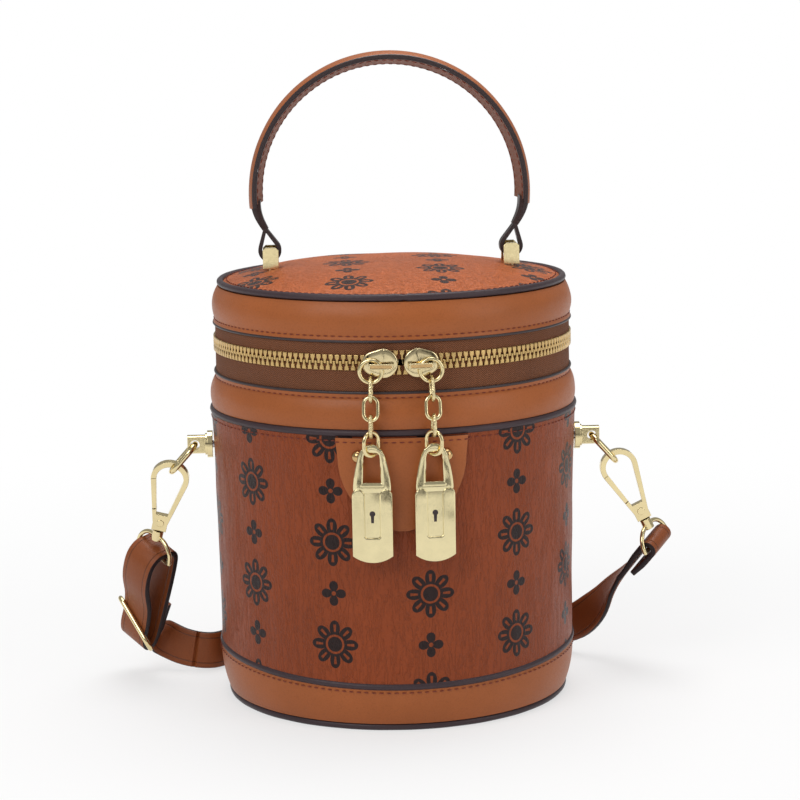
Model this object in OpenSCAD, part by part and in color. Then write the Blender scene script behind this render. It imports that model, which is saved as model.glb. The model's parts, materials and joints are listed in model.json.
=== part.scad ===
/* [Body] */
// Outer radius of the printed wall at half height
wall_r = 73.4; // [66:0.2:80]
// How far the wall's top edge flares out to meet the padded collar
wall_flare = 1.5; // [0.5:0.1:2.5]
// Thickness of the printed wall with its stiffening board
wall_t = 2.2; // [1.6:0.1:3]
// Height of the seam between the wall and the padded collar
wall_top = 119.4; // [100:0.5:140]
// Height of the smooth band round the base
band_h = 22; // [14:0.5:30]
// How far the base band bulges out past the wall
band_bulge = 0.7; // [0.2:0.1:1.5]
// Thickness of the smooth leather
leather_t = 1.4; // [1:0.1:2]
// Thickness of the fabric lining
lining_t = 0.8; // [0.5:0.1:1.5]
// Diameter of the corded piping in the seams
piping_d = 2.8; // [2:0.1:3.6]
// How far the bottom piping's outer edge stands inside the wall
base_inset = 2.9; // [1.5:0.1:5]
// Thickness of the board inside the base
base_board_t = 2; // [1.2:0.1:3]

/* [Collars and lid] */
// Height of the padded collar under the zip
lower_collar_h = 15.5; // [11:0.5:19]
// How far the lower collar bulges past the wall
lower_bulge = 2; // [1:0.1:3]
// Height of the open strip that shows the zip
zip_gap = 20; // [18:0.5:24]
// How far the zip sits above the middle of that strip
zip_rise = 1.8; // [0:0.1:2.4]
// Height of the padded collar over the zip
upper_collar_h = 16.4; // [12:0.5:22]
// How far the upper collar's foot stands past the wall
upper_out = 0.1; // [-1:0.1:1]
// How far the lid's piping stands inside the wall
lid_inset = 2; // [1.6:0.1:3]
// Rise of the padded lid above its piping
lid_dome = 7.4; // [4:0.2:10]
// Thickness of the lid's padded panel
lid_t = 2.6; // [2:0.1:4]

/* [Zip] */
// How far the middle of the zip tape lies inside the wall
tape_inset = 1.2; // [1:0.1:1.6]
// Thickness of the zip tape
tape_t = 0.7; // [0.4:0.1:1]
// Distance from tooth to tooth in one row
tooth_pitch = 2.5; // [2:0.1:3.2]
// Distance from the zip's centre line to the root of a tooth
tooth_l = 3.05; // [2.6:0.05:3.6]
// Width of a tooth at its root
tooth_w = 1.9; // [1.5:0.05:2]
// Width of a tooth at its tip
tooth_tip_w = 1.1; // [0.8:0.05:1.2]
// How far a tooth's tip crosses the centre line
tooth_nib = 0.55; // [0.3:0.05:0.7]
// Thickness of a tooth through the tape
tooth_t = 2.2; // [1.6:0.1:2.6]
// Angle at the back without teeth, where the leather hinge is
hinge_angle = 52; // [40:1:70]
// Thickness of the leather hinge at the back
hinge_t = 1.5; // [1:0.1:2]

/* [Sliders and pulls] */
// Angle from the front centre to each parked slider
slider_angle = 6.1; // [5.9:0.1:9]
// Radius of the slider's wide end
slider_nose_r = 5.6; // [5:0.1:6]
// Radius of the slider's narrow end
slider_tail_r = 4.6; // [4:0.1:5]
// Length of the slider
slider_l = 13.6; // [12.5:0.1:14]
// Thickness of the slider's plates
slider_t = 1.2; // [0.9:0.1:1.6]
// Outer diameter of the round pull ring
pull_ring_d = 10.2; // [9.6:0.1:11]
// Wire thickness of the round pull ring
pull_ring_wire = 1.6; // [1.2:0.1:1.8]
// Outer lengths of the chain's links, from the slider down
chain_lengths = [10.8, 10.4, 9.6, 10.7];
// Outer width of a link
chain_w = 6.9; // [6:0.1:7.4]
// Outer width of the last link
last_link_w = 8.8; // [7:0.1:9]
// Wire thickness of the links
chain_wire = 1.5; // [1.2:0.1:1.7]
// Length of the padlock pull from its hanging point
lock_l = 41.6; // [36:0.2:46]
// Width of the padlock pull
lock_w = 15.6; // [13:0.2:16]
// Height of the padlock pull's plate
lock_plate_h = 28.8; // [24:0.2:31]
// Thickness of the padlock pull
lock_t = 2.2; // [1.6:0.1:2.6]

/* [Front patch] */
// Width of the smooth patch at the top seam
patch_w = 51.4; // [44:0.2:60]
// Height of the smooth patch
patch_h = 37.6; // [30:0.2:42]
// Thickness of the patch
patch_t = 1.2; // [0.8:0.1:1.6]
// Distance between the two ball rivets
rivet_gap = 32.6; // [24:0.2:38]
// Diameter of the ball rivets
rivet_d = 4.8; // [3.8:0.1:5.4]

/* [Handle] */
// Distance between the two staples on the lid
staple_gap = 98; // [90:0.2:106]
// Height of the staple bar above its foot
staple_h = 9.4; // [8:0.1:11]
// Width of a staple, seen from the front
staple_w = 6.4; // [5:0.1:7]
// Length of a staple, front to back
staple_l = 13; // [11.5:0.5:16]
// Radius of the handle's arch at the middle of its thickness
handle_r = 55; // [50:0.5:60]
// Height of the arch's centre above the staple bars
handle_rise = 24; // [20:0.5:32]
// Width of the handle, front to back
handle_w = 15; // [12:0.5:18]
// Thickness of the padded handle
handle_t = 4.8; // [3.8:0.1:5.6]
// How far the handle's ends run past level, in degrees
handle_lean = 6; // [4:0.5:9]
// Width of the leather tabs that hold the staples
tab_w = 6.4; // [5:0.1:8]

/* [Strap hardware] */
// Height of the strap lugs
lug_z = 103.8; // [90:0.2:110]
// Diameter of the lug's round flange
flange_d = 11.2; // [9.5:0.2:13]
// Length of the lug's eye out from the flange
lug_eye_l = 8.2; // [7:0.1:10]
// Thickness of the lug's eye
lug_eye_t = 4.2; // [4:0.1:5.6]
// Wire thickness of the oblong ring
ring_wire = 2.4; // [2:0.1:2.6]
// Length of the oblong ring between the middles of its end wires
ring_pitch = 15; // [13:0.1:17]
// Outer width of the oblong ring
ring_w = 11.6; // [10.8:0.1:13]
// Outer radius of the snap hook's round nose
nose_r = 7.9; // [7:0.1:9]
// Width of the snap hook's flat wire
hook_wire = 2.2; // [1.8:0.1:2.4]
// Thickness of the snap hook
hook_t = 2.8; // [2.4:0.1:3.2]
// Distance from the nose's centre to the rivet
hook_l = 21.5; // [19:0.1:25]
// Outer width of the D-shaped eye
eye_w = 22; // [20:0.1:24]
// Wire thickness of the D-shaped eye
eye_wire = 1.9; // [1.6:0.1:2.2]

/* [Strap] */
// Width of the strap
strap_w = 15.6; // [13:0.5:17]
// Thickness of the strap
strap_t = 2.4; // [1.8:0.1:2.8]
// Length of the left end's loop below the bar
loop_l = 45; // [38:0.5:46]
// Length of the slide adjuster
adjuster_l = 28; // [25:0.5:30]
// Length of the right end's folded tail
fold_l = 24; // [20:0.5:28]

/* [Hidden] */
$fn = 64;
// One overrun for every cut
over = 1;
// Gap between layers that lie on each other
seat = 0.15;
// Gap between pieces that move on each other
play = 0.25;

tape_r = wall_r - tape_inset;
lid_r = wall_r - lid_inset;
upper_r = wall_r + upper_out;
zip_z = wall_top + lower_collar_h + zip_gap / 2 + zip_rise;
upper_z = wall_top + lower_collar_h + zip_gap;
rim_z = upper_z + upper_collar_h;
base_r = wall_r - base_inset;
wall_foot_r = wall_r - 0.2;
wall_top_r = wall_r + wall_flare;
lining_r = wall_foot_r - wall_t - seat;
lid_seat_r = lid_r - piping_d / 2;
lug_wall_r = wall_r + wall_flare * 0.75;

// Points of a shallow arc from one profile point to another, bulging out by b
function bulge(r0, z0, r1, z1, b, n = 8) = [
    for (i = [0:n])
        let (t = i / n)
        [r0 + (r1 - r0) * t + 4 * b * t * (1 - t), z0 + (z1 - z0) * t]
];

// The same profile moved inward by d, in reverse order
function inset(p, d) = [for (i = [len(p) - 1:-1:0]) [p[i][0] - d, p[i][1]]];

function arc(c, r, a0, a1, n = 16) = [
    for (i = [0:n])
        let (a = a0 + (a1 - a0) * i / n)
        [c[0] + r * cos(a), c[1] + r * sin(a)]
];

// Catmull-Rom curve through rows of numbers, k steps to each row
function blend_rows(a, b, c, d, t) = 0.5 * (2 * b + (c - a) * t
    + (2 * a - 5 * b + 4 * c - d) * t * t + (3 * b - a - 3 * c + d) * t * t * t);
function smooth_open(p, k) =
    let (n = len(p) - 1)
    concat([for (i = [0:n - 1], j = [0:k - 1])
        blend_rows(p[max(i - 1, 0)], p[i], p[i + 1], p[min(i + 2, n)], j / k)], [p[n]]);
function smooth_closed(p, k) =
    let (n = len(p))
    [for (i = [0:n - 1], j = [0:k - 1])
        blend_rows(p[(i + n - 1) % n], p[i], p[(i + 1) % n], p[(i + 2) % n], j / k)];

// The points of a closed curve moved sideways by d
function beside(p, d) =
    let (n = len(p))
    [for (i = [0:n - 1])
        let (f = p[(i + 1) % n] - p[(i + n - 1) % n])
        p[i] + d * [f[1], -f[0]] / norm(f)];

// The same for an open curve
function beside_open(p, d) =
    let (n = len(p) - 1)
    [for (i = [0:n])
        let (f = p[min(i + 1, n)] - p[max(i - 1, 0)])
        p[i] + d * [f[1], -f[0]] / norm(f)];

function reversed(p) = [for (i = [len(p) - 1:-1:0]) p[i]];

// Outline round two circles on the vertical axis: one at the origin, one d below it
function drop_outline(r0, r1, d, n = 20) =
    let (s = asin((r0 - r1) / d))
    concat(arc([0, 0], r0, -s, 180 + s, n), arc([0, -d], r1, 180 + s, 360 - s, n));

module revolve(points, a = 360, start = 0) {
    rotate([0, 0, start]) rotate_extrude(angle = a) polygon(points);
}

module torus(r, d) {
    rotate_extrude() translate([r, 0]) circle(d = d);
}

// Body

wall_profile = concat(
    bulge(wall_foot_r, band_h + piping_d / 2, wall_r + wall_flare * 0.2, lug_z - band_h / 2, 0),
    bulge(wall_r + wall_flare * 0.3, lug_z - band_h / 3, wall_top_r, wall_top - piping_d / 2,
        wall_flare * 0.15)
);

module body_panel() {
    color([0.55, 0.28, 0.18]) difference() {
        revolve(concat(wall_profile, inset(wall_profile, wall_t)));
        lug_holes();
    }
}

module lug_holes() {
    for (side = [-1, 1])
        translate([side * wall_r, 0, lug_z]) rotate([0, 90, 0])
            cylinder(r = screw_r + seat, h = 6 * wall_t, center = true);
}

module body_lining() {
    band = [for (p = base_profile)
        if (p[1] > floor_z) [min(lining_r, p[0] - leather_t - seat), p[1]]];
    foot = base_profile[0][0] - leather_t - seat;
    skin = concat([[foot, floor_z]], band, [[lining_r, lining_top]]);
    color([0.35, 0.25, 0.2]) difference() {
        revolve(concat([[0, floor_z]], skin, [[lining_r - lining_t, lining_top]],
            inset(band, lining_t), [[foot - lining_t, floor_z + lining_t]],
            [[0, floor_z + lining_t]]));
        lug_holes();
    }
}

base_t = 1.6;
floor_z = base_t + base_board_t + 2 * seat;
lining_top = wall_top + lower_collar_h - piping_d;

module base_panel() {
    color([0.5, 0.3, 0.18]) cylinder(r = base_r - piping_d - seat, h = base_t);
}

module base_board() {
    color([0.75, 0.68, 0.55]) translate([0, 0, base_t + seat])
        cylinder(r = base_r - piping_d - seat, h = base_board_t);
}

base_profile = bulge(base_r, piping_d + seat, wall_foot_r, band_h - piping_d / 2, band_bulge);

module base_band() {
    color([0.65, 0.4, 0.24]) revolve(concat(base_profile, inset(base_profile, leather_t)));
}

module base_piping() {
    color([0.2, 0.16, 0.16]) translate([0, 0, piping_d / 2])
        torus(base_r - piping_d / 2, piping_d);
}

module band_piping() {
    color([0.2, 0.16, 0.16]) translate([0, 0, band_h])
        torus(wall_r + band_bulge - piping_d / 2, piping_d);
}

module wall_piping() {
    color([0.2, 0.16, 0.16]) translate([0, 0, wall_top])
        torus(wall_top_r + lower_bulge * 0.3 - piping_d / 2, piping_d);
}

collar_in_r = tape_r + tape_t / 2 + seat;

module lower_collar() {
    z0 = wall_top + piping_d / 2;
    z1 = wall_top + lower_collar_h;
    p = bulge(wall_top_r - 0.4, z0, wall_r, z1, lower_bulge * 0.6);
    color([0.65, 0.4, 0.24])
        revolve(concat(p, [[wall_r - 0.3, z1], [collar_in_r, z1], [collar_in_r, z0]]));
}

// Zip

teeth_angle = 360 - hinge_angle;
tooth_step = tooth_pitch / tape_r * 180 / PI;
tooth_count = floor(teeth_angle / tooth_step);
// The rows part under the sliders, from the tail to the nose
part_gap = 1.7;
part_from = slider_angle + 3.4;
part_to = slider_angle - 0.6;
tape_edge = tooth_l - 0.75;

function parting(a) = part_gap * min(1, max(0, (part_from - abs(a)) / (part_from - part_to)));

// way is -1 for the lower row and 1 for the upper row
module zip_teeth(way) {
    shift = way > 0 ? 0.5 : 0;
    outline = [
        [-tooth_w / 2, tooth_l], [tooth_w / 2, tooth_l], [tooth_w / 2, tooth_l * 0.62],
        [tooth_tip_w / 2, tooth_l * 0.3], [tooth_tip_w / 2, -tooth_nib],
        [-tooth_tip_w / 2, -tooth_nib], [-tooth_tip_w / 2, tooth_l * 0.3],
        [-tooth_w / 2, tooth_l * 0.62]
    ];
    color([0.75, 0.62, 0.38])
        for (i = [0:tooth_count - 1]) {
            a = (i + shift - (tooth_count - 0.5) / 2) * tooth_step;
            rotate([0, 0, a]) translate([0, -tape_r, zip_z + way * parting(a)])
                mirror([0, 0, way > 0 ? 0 : 1]) rotate([90, 0, 0])
                    linear_extrude(tooth_t, center = true) polygon(outline);
        }
}

// Tape from its tucked edge to the edge that carries the teeth, lower where the rows part
module zip_tape(way) {
    far = zip_gap / 2 + tape_tuck - way * zip_rise;
    front = 2 * slider_angle;
    side = (teeth_angle - front) / 2;
    color([0.4, 0.24, 0.15]) translate([0, 0, zip_z]) mirror([0, 0, way > 0 ? 0 : 1]) {
        tape_arc(-90 + front / 2, side, tape_edge, far);
        tape_arc(-90 - front / 2 - side, side, tape_edge, far);
        tape_arc(-90 - front / 2, front, tape_edge + part_gap, far);
    }
}

tape_tuck = 6;

module tape_arc(start, a, z0, z1) {
    rotate([0, 0, start]) rotate_extrude(angle = a)
        translate([tape_r - tape_t / 2, z0]) square([tape_t, z1 - z0]);
}

// Leather hinge: two leaves that meet at the pivot, on the line of their outer face
hinge_in_r = tape_r - tape_t / 2;
hinge_split = 0.35;
hinge_pad = 1.5;

module hinge_leaf(way) {
    a = hinge_angle - 2 * hinge_pad;
    z1 = zip_gap / 2 - way * zip_rise - seat;
    color([0.5, 0.3, 0.18]) translate([0, 0, zip_z]) mirror([0, 0, way > 0 ? 0 : 1])
        rotate([0, 0, 90 - a / 2]) rotate_extrude(angle = a)
            translate([hinge_in_r, hinge_split]) square([hinge_t, z1 - hinge_split]);
}

// Front patch and its rivets

module front_patch() {
    top = wall_top - piping_d / 2 - seat;
    half = patch_w / 2;
    r = patch_h * 0.8;
    x = r - half * 0.97;
    low = top - patch_h + r;
    outline = concat([[half, top]], arc([-x, low], r, 0, -76, 10),
        arc([x, low], r, 256, 180, 10), [[-half, top]]);
    color([0.62, 0.38, 0.23]) difference() {
        intersection() {
            revolve(concat(patch_skin(patch_t + seat), inset(patch_skin(seat), 0)));
            rotate([90, 0, 0]) linear_extrude(wall_top_r + patch_t + over) polygon(outline);
        }
        rivet_holes();
    }
}

function patch_skin(d) = [for (p = wall_profile) [p[0] + d, p[1]]];

rivet_z = wall_top - 8.6;
rivet_pin_r = 0.9;
rivet_a = asin(rivet_gap / 2 / wall_r);
rivet_wall_r = wall_r + wall_flare * 0.85 + patch_t + 2 * seat;

module rivet_holes() {
    for (side = [-1, 1])
        rotate([0, 0, side * rivet_a]) translate([0, -wall_r, rivet_z]) rotate([90, 0, 0])
            cylinder(r = rivet_pin_r + seat / 2, h = 6 * wall_t, center = true);
}

module patch_rivets() {
    color([0.8, 0.72, 0.5])
        for (side = [-1, 1])
            rotate([0, 0, side * rivet_a]) translate([0, -rivet_wall_r, rivet_z]) {
                intersection() {
                    translate([0, -rivet_d * 0.12, 0]) sphere(d = rivet_d);
                    translate([0, -rivet_d, 0]) cube([2 * rivet_d, 2 * rivet_d, 2 * rivet_d],
                        center = true);
                }
                rotate([90, 0, 0]) translate([0, 0, -patch_t])
                    cylinder(r = rivet_pin_r, h = patch_t + rivet_d / 4);
            }
}

// Lid

function dome_z(r, lift = 0) =
    rim_z + lift + lid_dome * (1 - pow(r / lid_seat_r, 3));

function dome(r1, drop, n = 12) = [for (i = [0:n]) [r1 * i / n, dome_z(r1 * i / n) - drop]];

module lid_panel() {
    r1 = lid_seat_r - piping_d / 2 - seat;
    top = dome(r1, 0);
    color([0.6, 0.32, 0.2])
        difference() {
            revolve(concat(top, [for (i = [len(top) - 1:-1:0]) [top[i][0], top[i][1] - lid_t]]));
            staple_slots();
        }
}

module lid_lining() {
    r1 = tape_r - tape_t / 2 - 2 * seat;
    drop = lid_t + seat;
    rim = dome(lid_seat_r - piping_d, drop);
    low = upper_z - tape_tuck / 3;
    high = rim_z - piping_d / 2 - 3 * leather_t - 2 * seat;
    roof = [for (i = [len(rim) - 1:-1:0]) [rim[i][0], rim[i][1] - lining_t]];
    color([0.35, 0.25, 0.2])
        revolve(concat(rim, [[r1 - lining_t, high], [r1, high], [r1, low], [r1 - lining_t, low]],
            [[r1 - 2 * lining_t, high - lining_t]], roof));
}

module lid_piping() {
    color([0.2, 0.16, 0.16]) translate([0, 0, rim_z]) torus(lid_seat_r, piping_d);
}

module upper_collar() {
    z1 = rim_z - piping_d / 2 - seat;
    p = concat([[upper_r - 0.7, upper_z]],
        bulge(upper_r - 0.4, upper_z + leather_t, lid_r - 0.3, z1, 1.2));
    color([0.65, 0.4, 0.24])
        revolve(concat(p, [[lid_r - leather_t - 0.4, z1], [collar_in_r, z1 - 3 * leather_t],
            [collar_in_r, upper_z]]));
}

staple_x = staple_gap / 2;
staple_foot = dome_z(staple_x + staple_w / 2) - rim_z;
bar_z = rim_z + staple_foot + staple_h - 3;
staple_bar_r = 1.3;
staple_wall = 1.6;

// Staple: a polished bridge with a round bar from its front plate to its back plate
module staple(side) {
    foot = dome_z(staple_x) + seat;
    color([0.88, 0.8, 0.55]) translate([side * staple_x, 0, 0]) {
        for (y = [-1, 1])
            translate([0, y * (staple_l - staple_wall) / 2, 0])
                difference() {
                    translate([-staple_w / 2, -staple_wall / 2, foot])
                        cube([staple_w, staple_wall, rim_z + staple_foot + staple_h - foot]);
                    for (x = [-1, 1])
                        translate([x * staple_w / 2, 0, rim_z + staple_foot + staple_h])
                            rotate([0, 45, 0])
                                cube([staple_wall, 2 * staple_wall, staple_wall], center = true);
                }
        translate([0, 0, bar_z]) rotate([90, 0, 0])
            cylinder(r = staple_bar_r, h = staple_l - staple_wall, center = true);
        for (y = [-1, 1])
            translate([0, y * (staple_l - staple_wall) / 2, foot - lid_t + seat])
                cylinder(r = screw_r / 2, h = lid_t);
    }
}

module staple_slots() {
    foot = dome_z(staple_x);
    for (side = [-1, 1], y = [-1, 1])
        translate([side * staple_x, y * (staple_l - staple_wall) / 2, 0]) {
            translate([0, 0, rim_z])
                cylinder(r = screw_r / 2 + seat / 2, h = 4 * lid_dome, center = true);
            translate([-staple_w / 2 - seat, -staple_wall / 2 - seat, foot])
                cube([staple_w + 2 * seat, staple_wall + 2 * seat, lid_dome]);
        }
}

// Handle

arch_z = bar_z + handle_rise;
tab_t = 1.6;
leg_a = handle_lean;
skin_share = 0.3;
skin_t = handle_t * skin_share;

// A layer of the arch, between two depths from its outer face, w wide, past its level ends by a
module handle_layer(t0, t1, w, a) {
    r1 = handle_r + handle_t / 2 - t0;
    r0 = handle_r + handle_t / 2 - t1;
    translate([0, 0, arch_z]) rotate([90, 0, 0]) rotate([0, 0, -a])
        rotate_extrude(angle = 180 + 2 * a) translate([r0, -w / 2]) square([r1 - r0, w]);
}

module handle_strap() {
    color([0.65, 0.4, 0.24]) handle_layer(0, skin_t - seat, handle_w, leg_a);
}

module handle_core() {
    color([0.75, 0.7, 0.6])
        handle_layer(skin_t, handle_t - skin_t, handle_w - 2 * leather_t, -leg_a * 2);
}

module handle_backing() {
    color([0.45, 0.25, 0.16]) handle_layer(handle_t - skin_t + seat, handle_t, handle_w, leg_a);
}

// Leather tabs: each is sewn into the handle's end, drawn in to a neck and looped round a bar
loop_r = staple_bar_r + play + tab_t;
tab_bulge = 1.5;
neck = [staple_x + tab_t * 1.2, bar_z + handle_rise * 0.42];
tongue_t = handle_t - 2 * skin_t - 2 * seat;

module handle_tabs() {
    tab_turn = atan((neck[0] - staple_x) / (neck[1] - bar_z));
    reach = norm(neck - [staple_x, bar_z]);
    path = concat(arc([0, arch_z], handle_r, leg_a * 1.6, -leg_a * 0.8, 4),
        [(neck + [handle_r, arch_z - handle_r * sin(leg_a)]) / 2, neck, neck + [-0.1, -1]]);
    color([0.25, 0.16, 0.12])
        for (m = [0, 1])
            mirror([m, 0, 0]) rotate([90, 0, 0]) linear_extrude(tab_w, center = true) {
                difference() {
                    translate([staple_x, bar_z]) rotate(-tab_turn)
                        polygon(teardrop(loop_r * tab_bulge, tongue_t / 2, reach, tab_t));
                    translate([staple_x, bar_z]) rotate(-tab_turn)
                        polygon(teardrop(loop_r * tab_bulge - tab_t, tongue_t / 12,
                            reach - 2 * tab_t, 0));
                }
                polygon(concat(beside_open(path, tongue_t / 2),
                    reversed(beside_open(path, -tongue_t / 2))));
            }
}

// A drop with its round end down round the bar and its tip up at the neck
function teardrop(r, tip, reach, wall) =
    [for (p = drop_outline(r, tip, reach - r + loop_r)) [p[0], -p[1] + r - loop_r + tab_t - wall]];

// Slider and pull, in the slider's own frame: +X to its nose, -Y outward, origin on the tape

// Places a left piece, or its mirror image on the right
module on_slider(side) {
    rotate([0, 0, side * slider_angle]) translate([0, -tape_r, zip_z])
        mirror([side > 0 ? 1 : 0, 0, 0]) children();
}

nose_x = slider_l / 2 - slider_nose_r;
tail_x = slider_tail_r - slider_l / 2;
plate_out = tooth_t / 2 + 0.5;
plate_in = tooth_t / 2 + 0.8;

module slider_outline(less = 0) {
    translate([nose_x, 0]) rotate(90)
        rotate(0) polygon([for (p = drop_outline(slider_nose_r - less, slider_tail_r - less,
            nose_x - tail_x)) [p[0], -p[1]]]);
}

bridge_l = 9.6;
bridge_h = 2.2;
bridge_z = -0.75;
bridge_leg = 1.6;
bridge_x = 0.65;
bridge_t = 1.1;
tunnel = pull_ring_wire + 1.2;

module slider(side) {
    lip_t = 0.5;
    color([0.88, 0.8, 0.55]) on_slider(side) {
        // outer and inner plates
        translate([0, -plate_out, 0]) rotate([90, 0, 0]) linear_extrude(slider_t)
            slider_outline();
        translate([0, plate_in + slider_t, 0]) rotate([90, 0, 0]) linear_extrude(slider_t)
            slider_outline();
        // post between the parted rows
        translate([nose_x, 0, 0]) rotate([90, 0, 0])
            translate([slider_nose_r / 2, 0, -plate_in - slider_t / 2])
                linear_extrude(plate_in + plate_out + slider_t)
                    polygon([[-1.8, 0], [0, post_r], [1.4, 0], [0, -post_r]]);
        // lower lips, which hold the lower row
        lip(-plate_out, -(tape_t / 2 + 0.4), lip_t);
        lip(plate_in, tape_t / 2 + 0.4, lip_t);
        bridge();
    }
}

post_r = part_gap - tooth_nib - 0.3;

module lip(y0, y1, t) {
    lo = min(y0, y1);
    intersection() {
        translate([0, max(y0, y1), 0]) rotate([90, 0, 0]) linear_extrude(abs(y1 - y0))
            difference() {
                slider_outline();
                slider_outline(t);
            }
        translate([-slider_l * 0.3, lo - over, -slider_nose_r - over])
            cube([slider_l * 0.44, abs(y1 - y0) + 2 * over, slider_nose_r - tooth_l / 2]);
    }
}

module bridge() {
    top = -plate_out - slider_t;
    translate([bridge_x - bridge_l / 2, top - tunnel - bridge_t, bridge_z - bridge_h / 2])
        difference() {
            cube([bridge_l, tunnel + bridge_t + slider_t / 2, bridge_h]);
            translate([bridge_leg, bridge_t, -over])
                cube([bridge_l - 2 * bridge_leg, tunnel + slider_t, bridge_h + 2 * over]);
            translate([bridge_leg, -over, bridge_h * 0.36])
                cube([bridge_l - 2 * bridge_leg, bridge_t * 3, bridge_h * 0.28]);
        }
}

pull_x = -3.5;
pull_z = -2.85;
pull_y = -plate_out - slider_t - tunnel / 2;
pull_r = (pull_ring_d - pull_ring_wire) / 2;

// One oval link in the XZ plane, centred
module oval(l, w, wire) {
    rotate([90, 0, 0]) {
        for (m = [0, 1])
            mirror([0, m, 0]) translate([0, (l - w) / 2, 0])
                rotate_extrude(angle = 180) translate([(w - wire) / 2, 0]) circle(d = wire);
        for (m = [-1, 1])
            translate([m * (w - wire) / 2, 0, 0]) rotate([90, 0, 0])
                cylinder(d = wire, h = l - w + seat / 10, center = true);
    }
}

module pull_ring(side) {
    color([0.88, 0.8, 0.55]) on_slider(side) translate([pull_x, pull_y, pull_z])
        rotate([90, 0, 0]) torus(pull_r, pull_ring_wire);
}

// Tilts of the hanging links away from the bag, and their hanging points
chain_tilt = [21, 10, 0, 0];
wires = [pull_ring_wire, chain_wire, chain_wire, chain_wire, chain_wire];

// From one hanging point to the next
function hang(k) = chain_lengths[k] - 1.5 * chain_wire - wires[k] / 2 - play;
function link_mid(k) = chain_lengths[k] / 2 - chain_wire - wires[k] / 2 - play;
function step(k, d) = [pull_x, -d * sin(chain_tilt[k]), -d * cos(chain_tilt[k])];
function pivot(k) = k == 0
    ? [pull_x, pull_y, pull_z - pull_r]
    : pivot(k - 1) + [0, step(k - 1, hang(k - 1))[1], step(k - 1, hang(k - 1))[2]];

// The last link hangs at an angle, so that it goes round the shackle's thickness
last_turn = 45;

module link(side, k) {
    w = k == 3 ? last_link_w : chain_w;
    color([0.9, 0.82, 0.58]) on_slider(side) translate(pivot(k))
        rotate([-chain_tilt[k], 0, 0]) translate([0, 0, -link_mid(k)])
            rotate([0, 0, k == 3 ? last_turn : k % 2 == 0 ? 90 : 0])
                oval(chain_lengths[k], w, chain_wire);
}

shackle_w = 13.6;
shackle_wire = 3.6;
strip_w = 5.8;
strip_l = 19;

// Padlock-shaped pull: a plate with two shoulders, a sunk strip and a shackle window
module padlock(side) {
    top = chain_wire / 2 + play + shackle_wire;
    plate_top = lock_plate_h - lock_l;
    arc_drop = lock_w * 0.17;
    arc_r = (pow(lock_w / 2, 2) + pow(arc_drop, 2)) / (2 * arc_drop);
    arc_a = asin(lock_w / 2 / arc_r);
    shoulder = (lock_w - strip_w) / 4;
    crown = shackle_w * 0.24;
    window_low = plate_top + shackle_wire;
    window_w = 5.8;
    shackle_t = 1.5;
    window_top = top - shackle_wire - 0.7;
    color([0.9, 0.82, 0.58]) on_slider(side) translate(pivot(4))
        rotate([90, 0, 0]) difference() {
            union() {
                translate([0, 0, -lock_t / 2]) linear_extrude(lock_t) polygon(concat(
                    arc([0, arc_r - lock_l], arc_r, -90 - arc_a, -90 + arc_a, 12),
                    arc([lock_w / 2 - shoulder, plate_top - shoulder], shoulder, 0, 180, 10),
                    arc([shoulder - lock_w / 2, plate_top - shoulder], shoulder, 0, 180, 10)
                ));
                translate([0, 0, -shackle_t / 2]) linear_extrude(shackle_t)
                    polygon(concat([[shackle_w / 2, plate_top - shoulder]],
                    [[shackle_w / 2, plate_top + 1.4 * shoulder]],
                    arc([0, top - crown], crown, 12, 168, 12),
                    [[-shackle_w / 2, plate_top + 1.4 * shoulder]],
                    [[-shackle_w / 2, plate_top - shoulder]]));
            }
            translate([0, 0, -lock_t]) linear_extrude(2 * lock_t)
                polygon([[shackle_w * 0.26, window_low], [window_w / 2 + 0.1, window_top],
                    [window_w / 2 - 0.6, window_top + 0.9], [0.6 - window_w / 2, window_top + 0.9],
                    [-window_w / 2 - 0.1, window_top], [-shackle_w * 0.26, window_low]]);
            translate([-strip_w / 2, plate_top - strip_l, lock_t * 0.34])
                cube([strip_w, strip_l, lock_t]);
            translate([0, plate_top - 9.6, 0]) cylinder(r = 1.2, h = lock_t);
            translate([-0.5, plate_top - 13.4, 0]) cube([1, 3.6, lock_t]);
        }
}

// Strap hardware, right side as drawn, mirrored for the left

screw_r = 1.5;
flange_t = 2.2;
flange_x = lug_wall_r + 0.3;
eye_h = 7.8;
hole_r = ring_wire / 2 + 3 * play;
hole_x = flange_x + flange_t + lug_eye_l - 3.1;

module on_side(side) {
    mirror([side < 0 ? 1 : 0, 0, 0]) children();
}

module lug(side) {
    color([0.88, 0.8, 0.55]) on_side(side) translate([0, 0, lug_z]) difference() {
        union() {
            translate([flange_x, 0, 0]) rotate([0, 90, 0]) cylinder(d = flange_d, h = flange_t);
            translate([flange_x, 0, 0]) rotate([0, 90, 0])
                cylinder(d = flange_d * 0.8, h = flange_t * 1.4);
            translate([flange_x + flange_t / 2, 0, 0]) intersection() {
                rotate([0, 90, 0]) cylinder(d = eye_h, h = lug_eye_l + flange_t / 2);
                translate([0, -lug_eye_t / 2, -eye_h])
                    cube([lug_eye_l + flange_t, lug_eye_t, 2 * eye_h]);
            }
        }
        translate([hole_x, 0, 0]) rotate([90, 0, 0])
            cylinder(r = hole_r, h = lug_eye_t + over, center = true);
        translate([flange_x - over, 0, 0]) rotate([0, 90, 0])
            cylinder(r = screw_r + seat / 2, h = over + 1.6);
    }
}

// Screws from inside the bag into the lugs, each with a round head
module lug_screws() {
    head_x = lining_r - lining_t - seat;
    color([0.8, 0.8, 0.8])
        for (side = [-1, 1])
            on_side(side) translate([head_x, 0, lug_z]) rotate([0, 90, 0]) {
                cylinder(r = screw_r, h = flange_x + 1.4 - head_x);
                translate([0, 0, -1.2]) cylinder(r = 2.4 * screw_r, h = 1.2);
            }
}

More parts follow.
